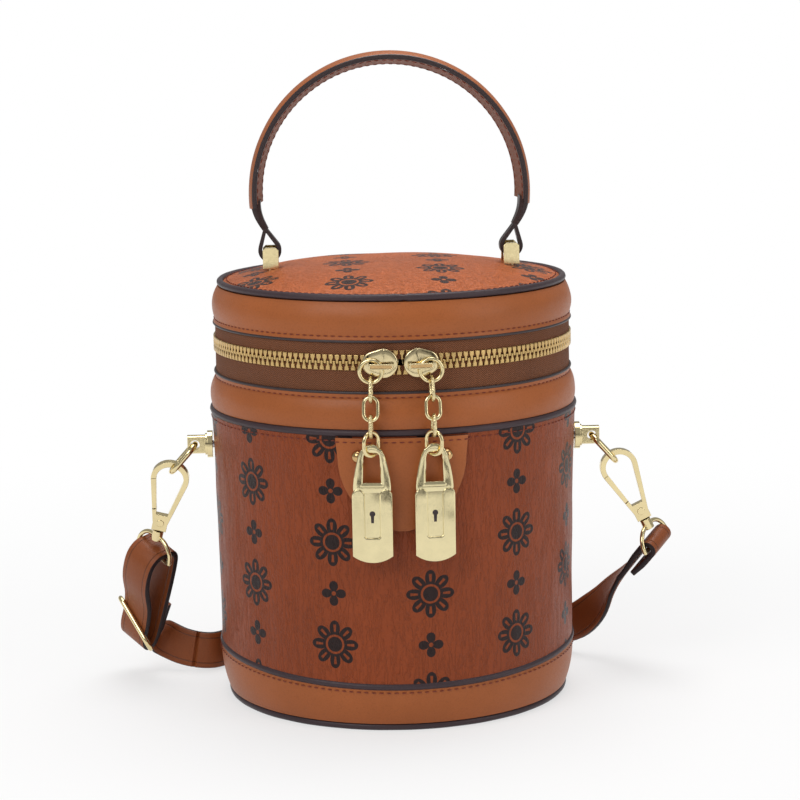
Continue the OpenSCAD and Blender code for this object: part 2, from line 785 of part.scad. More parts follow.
ring_lean = [42, 42];
hook_turn = [[18.2, 14.1, 0], [5.5, -26, 0]];
eye_turn = [-44, 50];

function at(side) = side < 0 ? 0 : 1;
function hole_at(side) = [side * hole_x, 0, lug_z];
function ring_end(side) = hole_at(side)
    + ring_pitch * [side * sin(ring_lean[at(side)]), 0, -cos(ring_lean[at(side)])];

module ring(side) {
    color([0.88, 0.8, 0.55]) translate(hole_at(side))
        rotate([0, -side * ring_lean[at(side)], 0]) translate([0, 0, -ring_pitch / 2])
            rotate([0, 0, 90]) oval(ring_pitch + ring_wire, ring_w, ring_wire);
}

// Hook frame: origin at the hanging point, -Z towards the rivet, Y through the hook
module on_hook(side) {
    translate(ring_end(side)) rotate(hook_turn[at(side)])
        translate([0, 0, -nose_drop]) children();
}

nose_drop = nose_r - hook_wire - ring_wire / 2 - 5 * play;
block_w = 6.2;
block_h = 7.4;
gate_top = -nose_r * 0.52;
rivet_r = 1.5;
barrel_r = 2.3;
barrel_l = 4.6;
barrel_gap = 0.3;
stem_r = 0.9;
stem_l = 1.6;

function hook_outline(less) = drop_outline(nose_r - less, block_w / 2 - less * 0.7, hook_l);
gate_side_a = asin((nose_r - block_w / 2) / hook_l);

module prism(t) {
    rotate([90, 0, 0]) linear_extrude(t, center = true) children();
}

// The strip of the outline that the gate fills, as a slanted slot on one side
module gate_zone(grow) {
    translate([-nose_r * cos(gate_side_a), nose_r * sin(gate_side_a)])
        rotate(gate_side_a)
            translate([-over, -hook_l + block_h * 0.55 - grow])
                square([hook_wire * 1.25 + over, hook_l - nose_r * 0.42 - block_h * 0.55
                    + 2 * grow]);
}

module hook(side) {
    color([0.88, 0.8, 0.55]) on_hook(side) {
        difference() {
            union() {
                prism(hook_t) difference() {
                    polygon(hook_outline(0));
                    polygon(hook_outline(hook_wire));
                    gate_zone(play);
                }
                translate([-block_w / 2, -hook_t / 2, -hook_l - block_h / 2])
                    cube([block_w, hook_t, block_h]);
            }
            translate([0, 0, -hook_l]) rotate([90, 0, 0])
                cylinder(r = rivet_r + 0.05, h = hook_t + over, center = true);
            translate([0, 0, -hook_l - block_h / 2 - over])
                cylinder(r = stem_r + play, h = over + stem_l + play);
        }
        // rivet through the block, with a low round head on each side
        translate([0, 0, -hook_l]) rotate([90, 0, 0])
            cylinder(r = rivet_r + 0.05, h = hook_t + 0.5, center = true);
    }
}

module gate(side) {
    color([0.8, 0.72, 0.48]) on_hook(side) prism(hook_t * 0.8) intersection() {
        difference() {
            polygon(hook_outline(0));
            polygon(hook_outline(hook_wire));
        }
        gate_zone(0);
    }
}

eye_r = (eye_w - eye_wire) / 2;
eye_corner = eye_r * 0.78;
eye_z = -hook_l - block_h / 2 - barrel_gap;
bar_drop = eye_z - barrel_l - eye_corner + 1.4;

// Swivel barrel with a D-shaped wire that holds the strap
module on_eye(side) {
    on_hook(side) rotate([0, 0, eye_turn[at(side)]]) children();
}

module eye(side) {
    color([0.88, 0.8, 0.55]) on_eye(side) {
        translate([0, 0, eye_z - barrel_l]) cylinder(r = barrel_r, h = barrel_l);
        translate([0, 0, eye_z - over / 2]) cylinder(r = stem_r, h = over / 2 + stem_l);
        translate([0, 0, bar_drop]) {
            for (m = [0, 1])
                mirror([m, 0, 0]) translate([eye_r - eye_corner, 0, 0]) rotate([90, 0, 0])
                    rotate_extrude(angle = 90) translate([eye_corner, 0]) circle(d = eye_wire);
            translate([0, 0, eye_corner]) rotate([0, 90, 0])
                cylinder(d = eye_wire, h = 2 * (eye_r - eye_corner), center = true);
            rotate([0, 90, 0]) cylinder(d = eye_wire, h = 2 * eye_r, center = true);
            for (x = [-1, 1]) translate([x * eye_r, 0, 0]) sphere(d = eye_wire);
        }
    }
}

// Strap ends round the bars of the eyes

fold_r = eye_wire / 2 + 0.35;

module on_bar(side, turn) {
    on_eye(side) translate([0, 0, bar_drop]) rotate([turn, 0, 0]) children();
}

// Across the strap: outlines are drawn in YZ and run along the bar
module across() {
    rotate([90, 0, 90]) linear_extrude(strap_w, center = true) children();
}

strap_turn = [0, 62];

// Middle line of the left loop, seen along the bar, as shares of its length
loop_shares = [[0.01, -0.055], [0.08, -0.062], [0.128, -0.013], [0.145, 0.089],
    [0.15, 0.289], [0.146, 0.533], [0.138, 0.733], [0.132, 0.889], [0.1, 0.98],
    [0.045, 1], [-0.008, 0.956], [-0.034, 0.856], [-0.036, 0.711], [-0.062, 0.533],
    [-0.137, 0.333], [-0.16, 0.178], [-0.143, 0.044], [-0.078, -0.036]];
loop_curve = smooth_closed([for (p = loop_shares) [p[0] * loop_l, -p[1] * loop_l]], 4);

module strap_end_left() {
    color([0.6, 0.34, 0.2]) on_bar(-1, strap_turn[0]) across() difference() {
        polygon(beside(loop_curve, -strap_t / 2));
        polygon(beside(loop_curve, strap_t / 2));
    }
}

// Middle line of the right end: along the strap, round the bar and back as a short tail
fold_mid = fold_r + strap_t / 2;
fold_curve = smooth_open(concat(
    [[fold_mid * 0.15, -fold_l], [fold_mid * 0.35, -fold_l * 0.7], [fold_mid * 0.8, -fold_l * 0.4],
    [fold_mid * 0.96, -fold_l * 0.2], [fold_mid, -fold_l * 0.07]],
    arc([0, 0], fold_mid, 0, 180, 5),
    [[-fold_mid * 1.02, -fold_l * 0.07], [-fold_mid * 1.1, -fold_l * 0.2],
    [-fold_mid * 1.12, -fold_l * 0.4], [-fold_mid * 0.9, -fold_l * 0.68]]), 3);

module strap_end_right() {
    color([0.6, 0.34, 0.2]) on_bar(1, strap_turn[1]) across()
        polygon(concat(beside_open(fold_curve, strap_t / 2),
            reversed(beside_open(fold_curve, -strap_t / 2))));
}

// Long oval slide adjuster round the lower end of the loop

adjuster_wire = 2.2;
adjuster_w = 10.2;
adjuster_lean = [-50, 25, 0];

module slide_adjuster() {
    color([0.88, 0.8, 0.55]) on_bar(-1, strap_turn[0])
        translate([0, -loop_l * 0.03, -loop_l * 0.8]) rotate(adjuster_lean) rotate([0, 90, 0])
            rotate([0, 0, 90]) oval(adjuster_l, adjuster_w, adjuster_wire);
}

// The long strap, on its edge behind the bag: each point is x, y, z and a lean in degrees

drawn_r = 73.4;
strap_path = [
    [-98, 32.5, 13, -30], [-91.5, 30, 10.4, -15], [-84.5, 28.2, 9, -5],
    [-78, 28.6, 8.5, 0], [-72.5, 33.5, 8.5, 0], [-66.5, 43, 8.5, 0], [-57, 55, 8.5, 0],
    [-43, 66, 8.5, 0], [-27, 74, 8.5, 0], [-10, 78.5, 8.5, 0], [10, 79, 8.5, 0],
    [26, 78.5, 8.5, 0], [36, 81, 8.5, 0], [39, 86, 8.5, 0], [35, 90.5, 8.5, 0],
    [25, 92, 8.5, 0], [0, 92, 8.5, 0], [-25, 92, 8.5, 0], [-36, 94, 8.5, 0],
    [-40, 99, 8.5, 0], [-36, 104, 8.5, 0], [-25, 106, 8.5, 0], [0, 106, 8.5, 0],
    [25, 106, 8.5, 0], [36, 108, 8.5, 0], [40, 113, 8.5, 0], [36, 118, 8.5, 0],
    [25, 120, 8.5, 0], [0, 120, 8.5, 0], [-25, 120, 8.5, 0], [-36, 122, 8.5, 0],
    [-40, 127, 8.5, 0], [-36, 132, 8.5, 0], [-25, 134, 8.5, 0], [0, 134, 8.5, 0],
    [25, 133, 8.5, 0], [40, 127, 8.5, 0], [49, 115, 8.5, 0], [53, 100, 8.5, 0],
    [56, 84, 8.5, 0], [60, 68, 8.6, 0], [65, 56, 9, 4], [72, 46, 10.5, 12],
    [80, 38, 14.5, 24], [87.3, 32, 22, 36], [92.5, 27.6, 30, 46]
];

// The route keeps its distance from the bag when the wall's radius is changed
function around_bag(route) = [for (p = route)
    [p[0] * wall_r / drawn_r, p[1] * wall_r / drawn_r, p[2], p[3]]];

module strap_back() {
    color([0.6, 0.34, 0.2]) band(smooth_open(around_bag(strap_path), 3), strap_w, strap_t);
}

// Sweeps a flat band along a path, its width upright and leaning as each point says
module band(path, w, t) {
    n = len(path);
    function place(i) = [path[i][0], path[i][1], path[i][2]];
    function tangent(i) =
        let (d = place(min(i + 1, n - 1)) - place(max(i - 1, 0)))
        d / norm(d);
    function unit(v) = v / norm(v);
    function ring_points(i) =
        let (
            f = tangent(i),
            out = unit(cross(f, [0, 0, 1])),
            up = cross(out, f),
            wide = up * cos(path[i][3]) + out * sin(path[i][3]),
            thin = cross(f, wide)
        )
        [for (c = [[-1, -1], [1, -1], [1, 1], [-1, 1]])
            place(i) + wide * w / 2 * c[0] + thin * t / 2 * c[1]];
    points = [for (i = [0:n - 1]) each ring_points(i)];
    faces = concat(
        [[0, 1, 2], [0, 2, 3]],
        [for (i = [0:n - 2], k = [0:3])
            [4 * i + k, 4 * i + 4 + k, 4 * i + 4 + (k + 1) % 4]],
        [for (i = [0:n - 2], k = [0:3])
            [4 * i + k, 4 * i + 4 + (k + 1) % 4, 4 * i + (k + 1) % 4]],
        [[4 * n - 1, 4 * n - 2, 4 * n - 3], [4 * n - 1, 4 * n - 3, 4 * n - 4]]
    );
    polyhedron(points, faces);
}

body_panel();
body_lining();
base_panel();
base_board();
base_band();
base_piping();
band_piping();
wall_piping();
lower_collar();
zip_tape(-1);  // lower_zip_tape
zip_teeth(-1);  // lower_zip_teeth
hinge_leaf(-1);  // hinge_lower
front_patch();
patch_rivets();
lug(-1);  // lug_left
lug(1);  // lug_right
lug_screws();
strap_back();
lid_panel();
lid_lining();
lid_piping();
upper_collar();
zip_tape(1);  // upper_zip_tape
zip_teeth(1);  // upper_zip_teeth
hinge_leaf(1);  // hinge_upper
staple(-1);  // staple_left
staple(1);  // staple_right
handle_strap();
handle_core();
handle_backing();
handle_tabs();
slider(-1);  // slider_left
pull_ring(-1);  // pull_ring_left
link(-1, 0);  // link_1_left
link(-1, 1);  // link_2_left
link(-1, 2);  // link_3_left
link(-1, 3);  // link_4_left
padlock(-1);  // padlock_left
slider(1);  // slider_right
pull_ring(1);  // pull_ring_right
link(1, 0);  // link_1_right
link(1, 1);  // link_2_right
link(1, 2);  // link_3_right
link(1, 3);  // link_4_right
padlock(1);  // padlock_right
ring(-1);  // ring_left
hook(-1);  // hook_left
gate(-1);  // gate_left
eye(-1);  // eye_left
strap_end_left();
slide_adjuster();
ring(1);  // ring_right
hook(1);  // hook_right
gate(1);  // gate_right
eye(1);  // eye_right
strap_end_right();
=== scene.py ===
import json
import math

import bmesh
import bpy
import numpy as np
from mathutils import Matrix, Vector, noise
from mathutils.geometry import convex_hull_2d


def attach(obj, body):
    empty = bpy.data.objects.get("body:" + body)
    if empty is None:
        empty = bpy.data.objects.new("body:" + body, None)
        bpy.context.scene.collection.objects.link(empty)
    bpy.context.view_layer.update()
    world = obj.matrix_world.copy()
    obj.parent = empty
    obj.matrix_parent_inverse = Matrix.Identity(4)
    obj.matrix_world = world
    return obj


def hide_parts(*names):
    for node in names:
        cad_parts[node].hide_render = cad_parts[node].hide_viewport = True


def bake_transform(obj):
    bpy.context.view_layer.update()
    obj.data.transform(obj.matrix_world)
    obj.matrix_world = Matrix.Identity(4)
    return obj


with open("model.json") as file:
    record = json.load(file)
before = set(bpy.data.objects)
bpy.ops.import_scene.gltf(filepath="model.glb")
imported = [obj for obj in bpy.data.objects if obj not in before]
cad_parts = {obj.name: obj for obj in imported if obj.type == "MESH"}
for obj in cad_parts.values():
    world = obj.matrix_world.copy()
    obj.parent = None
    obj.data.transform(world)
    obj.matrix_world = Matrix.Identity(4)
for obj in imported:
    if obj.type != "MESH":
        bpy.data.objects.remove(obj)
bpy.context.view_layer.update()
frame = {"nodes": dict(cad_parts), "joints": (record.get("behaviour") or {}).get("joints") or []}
scene = bpy.context.scene
MM = 0.001
FRONT = -math.pi / 2

# Main sizes of the bag, in millimetres, as the frame has them
WALL_R, WALL_TOP_R, WALL_TOP = 73.4, 74.9, 119.4
BASE_R, BAND_H, BAND_BULGE = 70.5, 22.0, 0.7
PIPING_D = 2.8
LOWER_TOP, UPPER_Z, RIM_Z = 134.9, 154.9, 171.3
LID_R, LID_SEAT_R, LID_DOME = 71.4, 70.0, 7.4
UPPER_R = 73.5
TAPE_R, TAPE_T, ZIP_Z = 72.2, 0.7, 146.7
COLLAR_IN_R = 72.7
SLIDER_ANGLE, PART_GAP = 6.1, 1.7
TOOTH_PITCH, TOOTH_L, TOOTH_W, TOOTH_TIP_W, TOOTH_NIB, TOOTH_T = 2.5, 3.05, 1.9, 1.1, 0.55, 2.2
TEETH_ANGLE, HINGE_ANGLE = 308.0, 49.0
HANDLE_R, HANDLE_W, ARCH_Z = 55.0, 15.0, 206.03
STRAP_W, STRAP_T = 15.6, 2.4
BAR_Z = 182.03
RIVET_GAP = 32.6
LOCK_W, LOCK_PLATE, SHACKLE_WIRE, SHACKLE_T = 15.6, 28.8, 3.6, 1.5
STRIP_HALF, STRIP_L = 2.9, 19
KEYHOLE_R, KEYHOLE_DROP, KEYHOLE_L = 1.15, 9.6, 3.6
RIVET_R = 2.6


# ---------------------------------------------------------------- mesh helpers

def tint(r, g, b):
    """A screen colour as the linear colour that a shader takes."""
    def linear(c):
        c /= 255
        return c / 12.92 if c <= 0.04045 else ((c + 0.055) / 1.055) ** 2.4
    return (linear(r), linear(g), linear(b), 1)


def smooth(piece, angle=38):
    mesh = piece.data
    mesh.polygons.foreach_set("use_smooth", [True] * len(mesh.polygons))
    mesh.set_sharp_from_angle(angle=math.radians(angle))
    mesh.update()
    return piece


def add_piece(name, points, faces, material, angle=38):
    """A new object at the origin from points in millimetres."""
    mesh = bpy.data.meshes.new(name)
    mesh.from_pydata([tuple(MM * c for c in p) for p in points], [], faces)
    tidy = bmesh.new()
    tidy.from_mesh(mesh)
    bmesh.ops.remove_doubles(tidy, verts=tidy.verts, dist=1e-7)
    tidy.to_mesh(mesh)
    tidy.free()
    mesh.validate()
    piece = bpy.data.objects.new(name, mesh)
    scene.collection.objects.link(piece)
    mesh.materials.append(material)
    return smooth(piece, angle)


def settle(piece, body, slot, *nodes):
    """The piece moves with its body and stands for its nodes; the slot for its finish is not used."""
    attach(piece, body)
    if nodes:
        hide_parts(*nodes)
    return piece


def outward(piece):
    """The piece with all its faces looking out."""
    fix = bmesh.new()
    fix.from_mesh(piece.data)
    bmesh.ops.recalc_face_normals(fix, faces=fix.faces)
    fix.to_mesh(piece.data)
    fix.free()
    return piece


def bulge(r0, z0, r1, z1, b, n=8):
    steps = [i / n for i in range(n + 1)]
    return [(r0 + (r1 - r0) * t + 4 * b * t * (1 - t), z0 + (z1 - z0) * t) for t in steps]


def turned(name, profile, material, steps=256, shift=None, start=0.0, sweep=2 * math.pi, closed=True):
    """Turns a profile of (r, z) about the bag's axis; it goes up outside and down inside.
    shift(angle, r, z, k) gives the moved (r, z) of profile point k."""
    whole = abs(sweep - 2 * math.pi) < 1e-6
    columns = steps if whole else steps + 1
    points, faces, n = [], [], len(profile)
    for i in range(columns):
        a = start + sweep * i / steps
        for k, (r, z) in enumerate(profile):
            if shift:
                r, z = shift(a, r, z, k)
            points.append((r * math.cos(a), r * math.sin(a), z))
    for i in range(steps):
        here, there = i * n, ((i + 1) % columns) * n
        for k in range(n if closed else n - 1):
            j = (k + 1) % n
            faces.append((here + k, there + k, there + j, here + j))
    if not whole:
        faces.append(tuple(range(n)))
        faces.append(tuple(reversed(range((columns - 1) * n, columns * n))))
    return add_piece(name, points, faces, material)


def curve_through(rows, k):
    """Catmull-Rom rows of numbers, k steps to each."""
    rows = [np.array(r, float) for r in rows]
    out, last = [], len(rows) - 1
    for i in range(last):
        a, b, c, d = rows[max(i - 1, 0)], rows[i], rows[i + 1], rows[min(i + 2, last)]
        for j in range(k):
            t = j / k
            out.append(0.5 * (2 * b + (c - a) * t + (2 * a - 5 * b + 4 * c - d) * t * t
                              + (3 * b - a - 3 * c + d) * t ** 3))
    return out + [rows[last]]


def ripple(x, y, z, scale, seed=0.0):
    """Smooth noise from -1 to 1 at a point given in millimetres."""
    return noise.noise(Vector((x / scale + seed, y / scale - seed, z / scale + 2 * seed)))


# ---------------------------------------------------------------- shader groups

def new_group(name, inputs, outputs):
    group = bpy.data.node_groups.new(name, "ShaderNodeTree")
    for label, kind, value in inputs:
        socket = group.interface.new_socket(name=label, in_out="INPUT", socket_type=kind)
        if value is not None:
            socket.default_value = value
    for label, kind in outputs:
        group.interface.new_socket(name=label, in_out="OUTPUT", socket_type=kind)
    return group, group.nodes.new("NodeGroupInput"), group.nodes.new("NodeGroupOutput")


class Bench:
    """Places and joins the nodes of one tree."""

    def __init__(self, tree):
        self.tree = tree

    def node(self, kind, wires=None, **settings):
        made = self.tree.nodes.new(kind)
        for key, value in settings.items():
            setattr(made, key, value)
        for key, value in (wires or {}).items():
            socket = made.inputs[key]
            if hasattr(value, "is_output"):
                self.tree.links.new(value, socket)
            else:
                socket.default_value = value
        return made

    def math(self, operation, *values):
        return self.node("ShaderNodeMath", dict(enumerate(values)), operation=operation).outputs[0]

    def vector(self, operation, *values):
        return self.node("ShaderNodeVectorMath", dict(enumerate(values)), operation=operation).outputs[0]

    def ramp(self, value, low, high, to_low=0.0, to_high=1.0):
        wires = {"Value": value, "From Min": low, "From Max": high, "To Min": to_low, "To Max": to_high}
        return self.node("ShaderNodeMapRange", wires, interpolation_type="SMOOTHSTEP").outputs["Result"]

    def mix(self, factor, a, b, blend="MIX"):
        made = self.tree.nodes.new("ShaderNodeMix")
        made.data_type, made.blend_type = "RGBA", blend
        for key, value in ((0, factor), (6, a), (7, b)):
            if hasattr(value, "is_output"):
                self.tree.links.new(value, made.inputs[key])
            else:
                made.inputs[key].default_value = value
        return made.outputs[2]

    def noise(self, vector, scale, detail=2.0, rough=0.5):
        wires = {"Vector": vector, "Scale": scale, "Detail": detail, "Roughness": rough}
        return self.node("ShaderNodeTexNoise", wires).outputs["Fac"]

    def group(self, tree, **wires):
        made = self.tree.nodes.new("ShaderNodeGroup")
        made.node_tree = tree
        for key, value in wires.items():
            socket = made.inputs[key.replace("_", " ")]
            if hasattr(value, "is_output"):
                self.tree.links.new(value, socket)
            else:
                socket.default_value = value
        return made.outputs


def grain_group():
    """Pebbled leather grain with fine creases that run up the bag."""
    group, start, end = new_group(
        "leather_grain",
        [("Vector", "NodeSocketVector", None), ("Pebble", "NodeSocketFloat", 0.9),
         ("Crease", "NodeSocketFloat", 0.5)],
        [("Height", "NodeSocketFloat"), ("Pits", "NodeSocketFloat")])
    b = Bench(group)
    place = b.vector("MULTIPLY", start.outputs["Vector"], (1000, 1000, 1000))
    wander = b.node("ShaderNodeTexNoise", {"Vector": place, "Scale": 0.35, "Detail": 2.0}).outputs["Color"]
    bent = b.vector("ADD", place, b.vector("MULTIPLY", wander, (1.6, 1.6, 1.6)))
    cell = b.math("DIVIDE", 1.0, start.outputs["Pebble"])
    pebbles = b.node("ShaderNodeTexVoronoi", {"Vector": bent, "Scale": cell},
                     feature="SMOOTH_F1").outputs["Distance"]
    fine = b.noise(place, 2.6, 3.0, 0.6)
    stretched = b.vector("MULTIPLY", bent, (0.62, 0.62, 0.075))
    ridge = b.math("ABSOLUTE", b.math("SUBTRACT", b.noise(stretched, 1.0, 3.0, 0.55), 0.5))
    crease = b.ramp(ridge, 0.0, 0.055)
    amount = b.math("MULTIPLY", b.math("SUBTRACT", crease, 1.0), start.outputs["Crease"])
    height = b.math("ADD", b.math("MULTIPLY", pebbles, -0.55),
                    b.math("ADD", b.math("MULTIPLY", fine, 0.25), amount))
    group.links.new(height, end.inputs["Height"])
    group.links.new(b.math("ADD", b.ramp(pebbles, 0.35, 0.75), b.math("MULTIPLY", amount, -0.8)), end.inputs["Pits"])
    return group


def patina_group():
    """Slow changes of colour and shine over a surface, as handling leaves them."""
    group, start, end = new_group(
        "patina", [("Vector", "NodeSocketVector", None), ("Size", "NodeSocketFloat", 30.0)],
        [("Cloud", "NodeSocketFloat"), ("Speck", "NodeSocketFloat")])
    b = Bench(group)
    place = b.vector("MULTIPLY", start.outputs["Vector"], (1000, 1000, 1000))
    cloud = b.noise(place, b.math("DIVIDE", 1.0, start.outputs["Size"]), 3.0, 0.55)
    speck = b.noise(place, 1.3, 4.0, 0.65)
    group.links.new(b.ramp(cloud, 0.3, 0.7), end.inputs["Cloud"])
    group.links.new(speck, end.inputs["Speck"])
    return group


def around_group():
    """Distance round the bag, height up it, in millimetres."""
    group, start, end = new_group(
        "around_the_bag", [("Vector", "NodeSocketVector", None), ("Radius", "NodeSocketFloat", 74.0)],
        [("Around", "NodeSocketFloat"), ("Up", "NodeSocketFloat")])
    b = Bench(group)
    parts = b.node("ShaderNodeSeparateXYZ", {0: start.outputs["Vector"]}).outputs
    angle = b.math("ARCTAN2", parts[0], b.math("MULTIPLY", parts[1], -1.0))
    group.links.new(b.math("MULTIPLY", angle, start.outputs["Radius"]), end.inputs["Around"])
    group.links.new(b.math("MULTIPLY", parts[2], 1000.0), end.inputs["Up"])
    return group


def blossom_group():
    """A plain repeat of eight-petal blossoms with small four-petal ones between, every other column half a step up."""
    group, start, end = new_group(
        "blossom_print",
        [("Across", "NodeSocketFloat", 0.0), ("Up", "NodeSocketFloat", 0.0), ("Column", "NodeSocketFloat", 38.0),
         ("Row", "NodeSocketFloat", 41.0), ("Size", "NodeSocketFloat", 9.5)],
        [("Mask", "NodeSocketFloat")])
    b = Bench(group)
    column = start.outputs["Column"]
    u = b.math("DIVIDE", start.outputs["Across"], column)
    index = b.math("FLOOR", u)
    odd = b.math("MULTIPLY", b.math("FLOORED_MODULO", index, 2.0), 0.5)
    v = b.math("ADD", b.math("DIVIDE", start.outputs["Up"], start.outputs["Row"]), odd)
    x = b.math("MULTIPLY", b.math("SUBTRACT", b.math("FRACT", u), 0.5), column)
    y = b.math("MULTIPLY", b.math("SUBTRACT", b.math("FRACT", v), 0.5), start.outputs["Row"])

    def flower(x, y, petals, size, waist):
        reach = b.math("SQRT", b.math("ADD", b.math("MULTIPLY", x, x), b.math("MULTIPLY", y, y)))
        turn = b.math("MULTIPLY", b.math("ARCTAN2", y, x), petals / 2)
        lobe = b.math("POWER", b.math("ABSOLUTE", b.math("COSINE", turn)), 0.55)
        edge = b.math("MULTIPLY", size, b.math("ADD", waist, b.math("MULTIPLY", lobe, 1 - waist)))
        inside = b.ramp(b.math("SUBTRACT", edge, reach), -0.12, 0.12)
        return reach, lobe, inside

    size = start.outputs["Size"]
    reach, lobe, petals = flower(x, y, 8, size, 0.42)
    share = b.math("DIVIDE", reach, size)
    ring = b.math("MULTIPLY", b.ramp(share, 0.3, 0.33), b.math("SUBTRACT", 1.0, b.ramp(share, 0.39, 0.42)))
    vein = b.math("MULTIPLY", b.ramp(lobe, 0.965, 0.985),
                  b.math("MULTIPLY", b.ramp(share, 0.5, 0.55), b.math("SUBTRACT", 1.0, b.ramp(share, 0.8, 0.86))))
    bare = b.math("MAXIMUM", ring, vein)
    big = b.math("MULTIPLY", petals, b.math("SUBTRACT", 1.0, bare))
    half = b.math("MULTIPLY", start.outputs["Row"], 0.5)
    y2 = b.math("SUBTRACT", b.math("ABSOLUTE", y), half)
    reach2, _, small = flower(x, y2, 4, b.math("MULTIPLY", size, 0.52), 0.12)
    eye = b.ramp(reach2, 0.75, 1.0)
    group.links.new(b.math("MAXIMUM", big, b.math("MULTIPLY", small, eye)), end.inputs["Mask"])
    return group


def herringbone_group():
    """Woven tape: ribs that lean one way and then the other."""
    group, start, end = new_group(
        "herringbone", [("Across", "NodeSocketFloat", 0.0), ("Along", "NodeSocketFloat", 0.0),
                        ("Rib", "NodeSocketFloat", 0.55)],
        [("Height", "NodeSocketFloat")])
    b = Bench(group)
    zigzag = b.math("PINGPONG", start.outputs["Across"], 1.5)
    phase = b.math("DIVIDE", b.math("ADD", start.outputs["Along"], zigzag), start.outputs["Rib"])
    wave = b.math("SINE", b.math("MULTIPLY", phase, 2 * math.pi))
    group.links.new(b.math("ADD", b.math("MULTIPLY", wave, 0.5), 0.5), end.inputs["Height"])
    return group


GRAIN, PATINA, AROUND = grain_group(), patina_group(), around_group()
BLOSSOM, HERRINGBONE = blossom_group(), herringbone_group()


# ---------------------------------------------------------------- materials

def new_material(name):
    material = bpy.data.materials.new(name)
    material.use_nodes = True
    tree = material.node_tree
    shader = tree.nodes["Principled BSDF"]
    where = tree.nodes.new("ShaderNodeTexCoord").outputs["Object"]
    return material, Bench(tree), shader, where


def bump(b, shader, height, distance, strength=1.0):
    made = b.node("ShaderNodeBump", {"Height": height, "Distance": distance, "Strength": strength})
    b.tree.links.new(made.outputs["Normal"], shader.inputs["Normal"])


def darker(colour, share):
    return tuple(c * share for c in colour[:3]) + (1,)


def leather(name, colour, pebble, crease, depth, rough, coat=0.0, across=None):
    """Leather with its grain; across names the attribute of a strap, which is creased along its edges."""
    material, b, shader, where = new_material(name)
    height, pits = b.group(GRAIN, Vector=where, Pebble=pebble, Crease=crease)[:2]
    cloud, speck = b.group(PATINA, Vector=where, Size=34.0)[:2]
    base = b.mix(b.math("MULTIPLY", cloud, 0.35), colour, darker(colour, 0.72))
    base = b.mix(b.math("MULTIPLY", pits, 0.2), base, darker(colour, 0.5))
    if across:
        side = b.math("ABSOLUTE", b.node("ShaderNodeAttribute", attribute_name=across).outputs["Fac"])
        line = b.math("ABSOLUTE", b.math("SUBTRACT", side, 0.7))
        groove = b.math("SUBTRACT", 1.0, b.ramp(line, 0.0, 0.05))
        base = b.mix(b.math("MULTIPLY", groove, 0.75), base, darker(colour, 0.25))
        base = b.mix(b.ramp(side, 0.965, 0.985), base, tint(40, 30, 32))
        height = b.math("SUBTRACT", height, b.math("MULTIPLY", groove, 2.0))
    b.tree.links.new(base, shader.inputs["Base Color"])
    b.tree.links.new(b.ramp(speck, 0.25, 0.75, rough - 0.06, rough + 0.1), shader.inputs["Roughness"])
    shader.inputs["Coat Weight"].default_value = coat
    shader.inputs["Specular IOR Level"].default_value = 0.28
    shader.inputs["Coat Roughness"].default_value = 0.3
    bump(b, shader, height, depth * MM)
    return material


def printed_leather(name, flat):
    """Redder grained leather with the dark blossom print, round the wall or flat on the lid. The lid's copy has painted
    light, a much lighter colour than the wall's, on the same leather.
    """
    material, b, shader, where = new_material(name)
    # painted light: the lid's colour is made much lighter than the wall's, as for light falling on the top; both are
    # the same printed leather
    colour = tint(206, 106, 48) if flat else tint(144, 65, 26)
    height, pits = b.group(GRAIN, Vector=where, Pebble=1.7 if flat else 1.15, Crease=0.3 if flat else 0.9)[:2]
    cloud, speck = b.group(PATINA, Vector=where, Size=42.0)[:2]
    if flat:
        parts = b.node("ShaderNodeSeparateXYZ", {0: where}).outputs
        print_mask = b.group(BLOSSOM, Across=b.math("MULTIPLY", parts[0], 1000.0),
                             Up=b.math("ADD", b.math("MULTIPLY", parts[1], 1000.0), 9.0),
                             Column=37.0, Row=41.0, Size=9.6)[0]
    else:
        parts = b.group(AROUND, Vector=where, Radius=73.4)
        print_mask = b.group(BLOSSOM, Across=b.math("ADD", parts[0], 9.0), Up=b.math("ADD", parts[1], 6.0),
                             Column=2 * math.pi * 73.4 / 12, Row=41.0, Size=9.6)[0]
    base = b.mix(b.math("MULTIPLY", cloud, 0.4), colour, darker(colour, 0.66))
    base = b.mix(b.math("MULTIPLY", pits, 0.2), base, darker(colour, 0.5))
    worn = b.ramp(speck, 0.62, 0.75)
    ink = b.math("MULTIPLY", print_mask, b.math("SUBTRACT", 0.95, b.math("MULTIPLY", worn, 0.35)))
    base = b.mix(ink, base, tint(17, 14, 17))
    b.tree.links.new(base, shader.inputs["Base Color"])
    rough = b.ramp(speck, 0.25, 0.75, 0.34, 0.5)
    b.tree.links.new(b.math("SUBTRACT", rough, b.math("MULTIPLY", print_mask, 0.06)), shader.inputs["Roughness"])
    shader.inputs["Specular IOR Level"].default_value = 0.42 if flat else 0.27
    bump(b, shader, b.math("ADD", height, b.math("MULTIPLY", print_mask, 0.25)), (0.95 if flat else 0.16) * MM)
    return material


def woven_tape(name):
    material, b, shader, where = new_material(name)
    parts = b.group(AROUND, Vector=where, Radius=TAPE_R)
    ribs = b.group(HERRINGBONE, Across=parts[0], Along=parts[1], Rib=0.85)[0]
    cloud, speck = b.group(PATINA, Vector=where, Size=18.0)[:2]
    base = b.mix(ribs, tint(84, 45, 24), tint(146, 88, 50))
    base = b.mix(b.math("MULTIPLY", cloud, 0.2), base, tint(84, 50, 34))
    b.tree.links.new(base, shader.inputs["Base Color"])
    b.tree.links.new(b.ramp(speck, 0.2, 0.8, 0.7, 0.95), shader.inputs["Roughness"])
    bump(b, shader, ribs, 0.2 * MM)
    return material


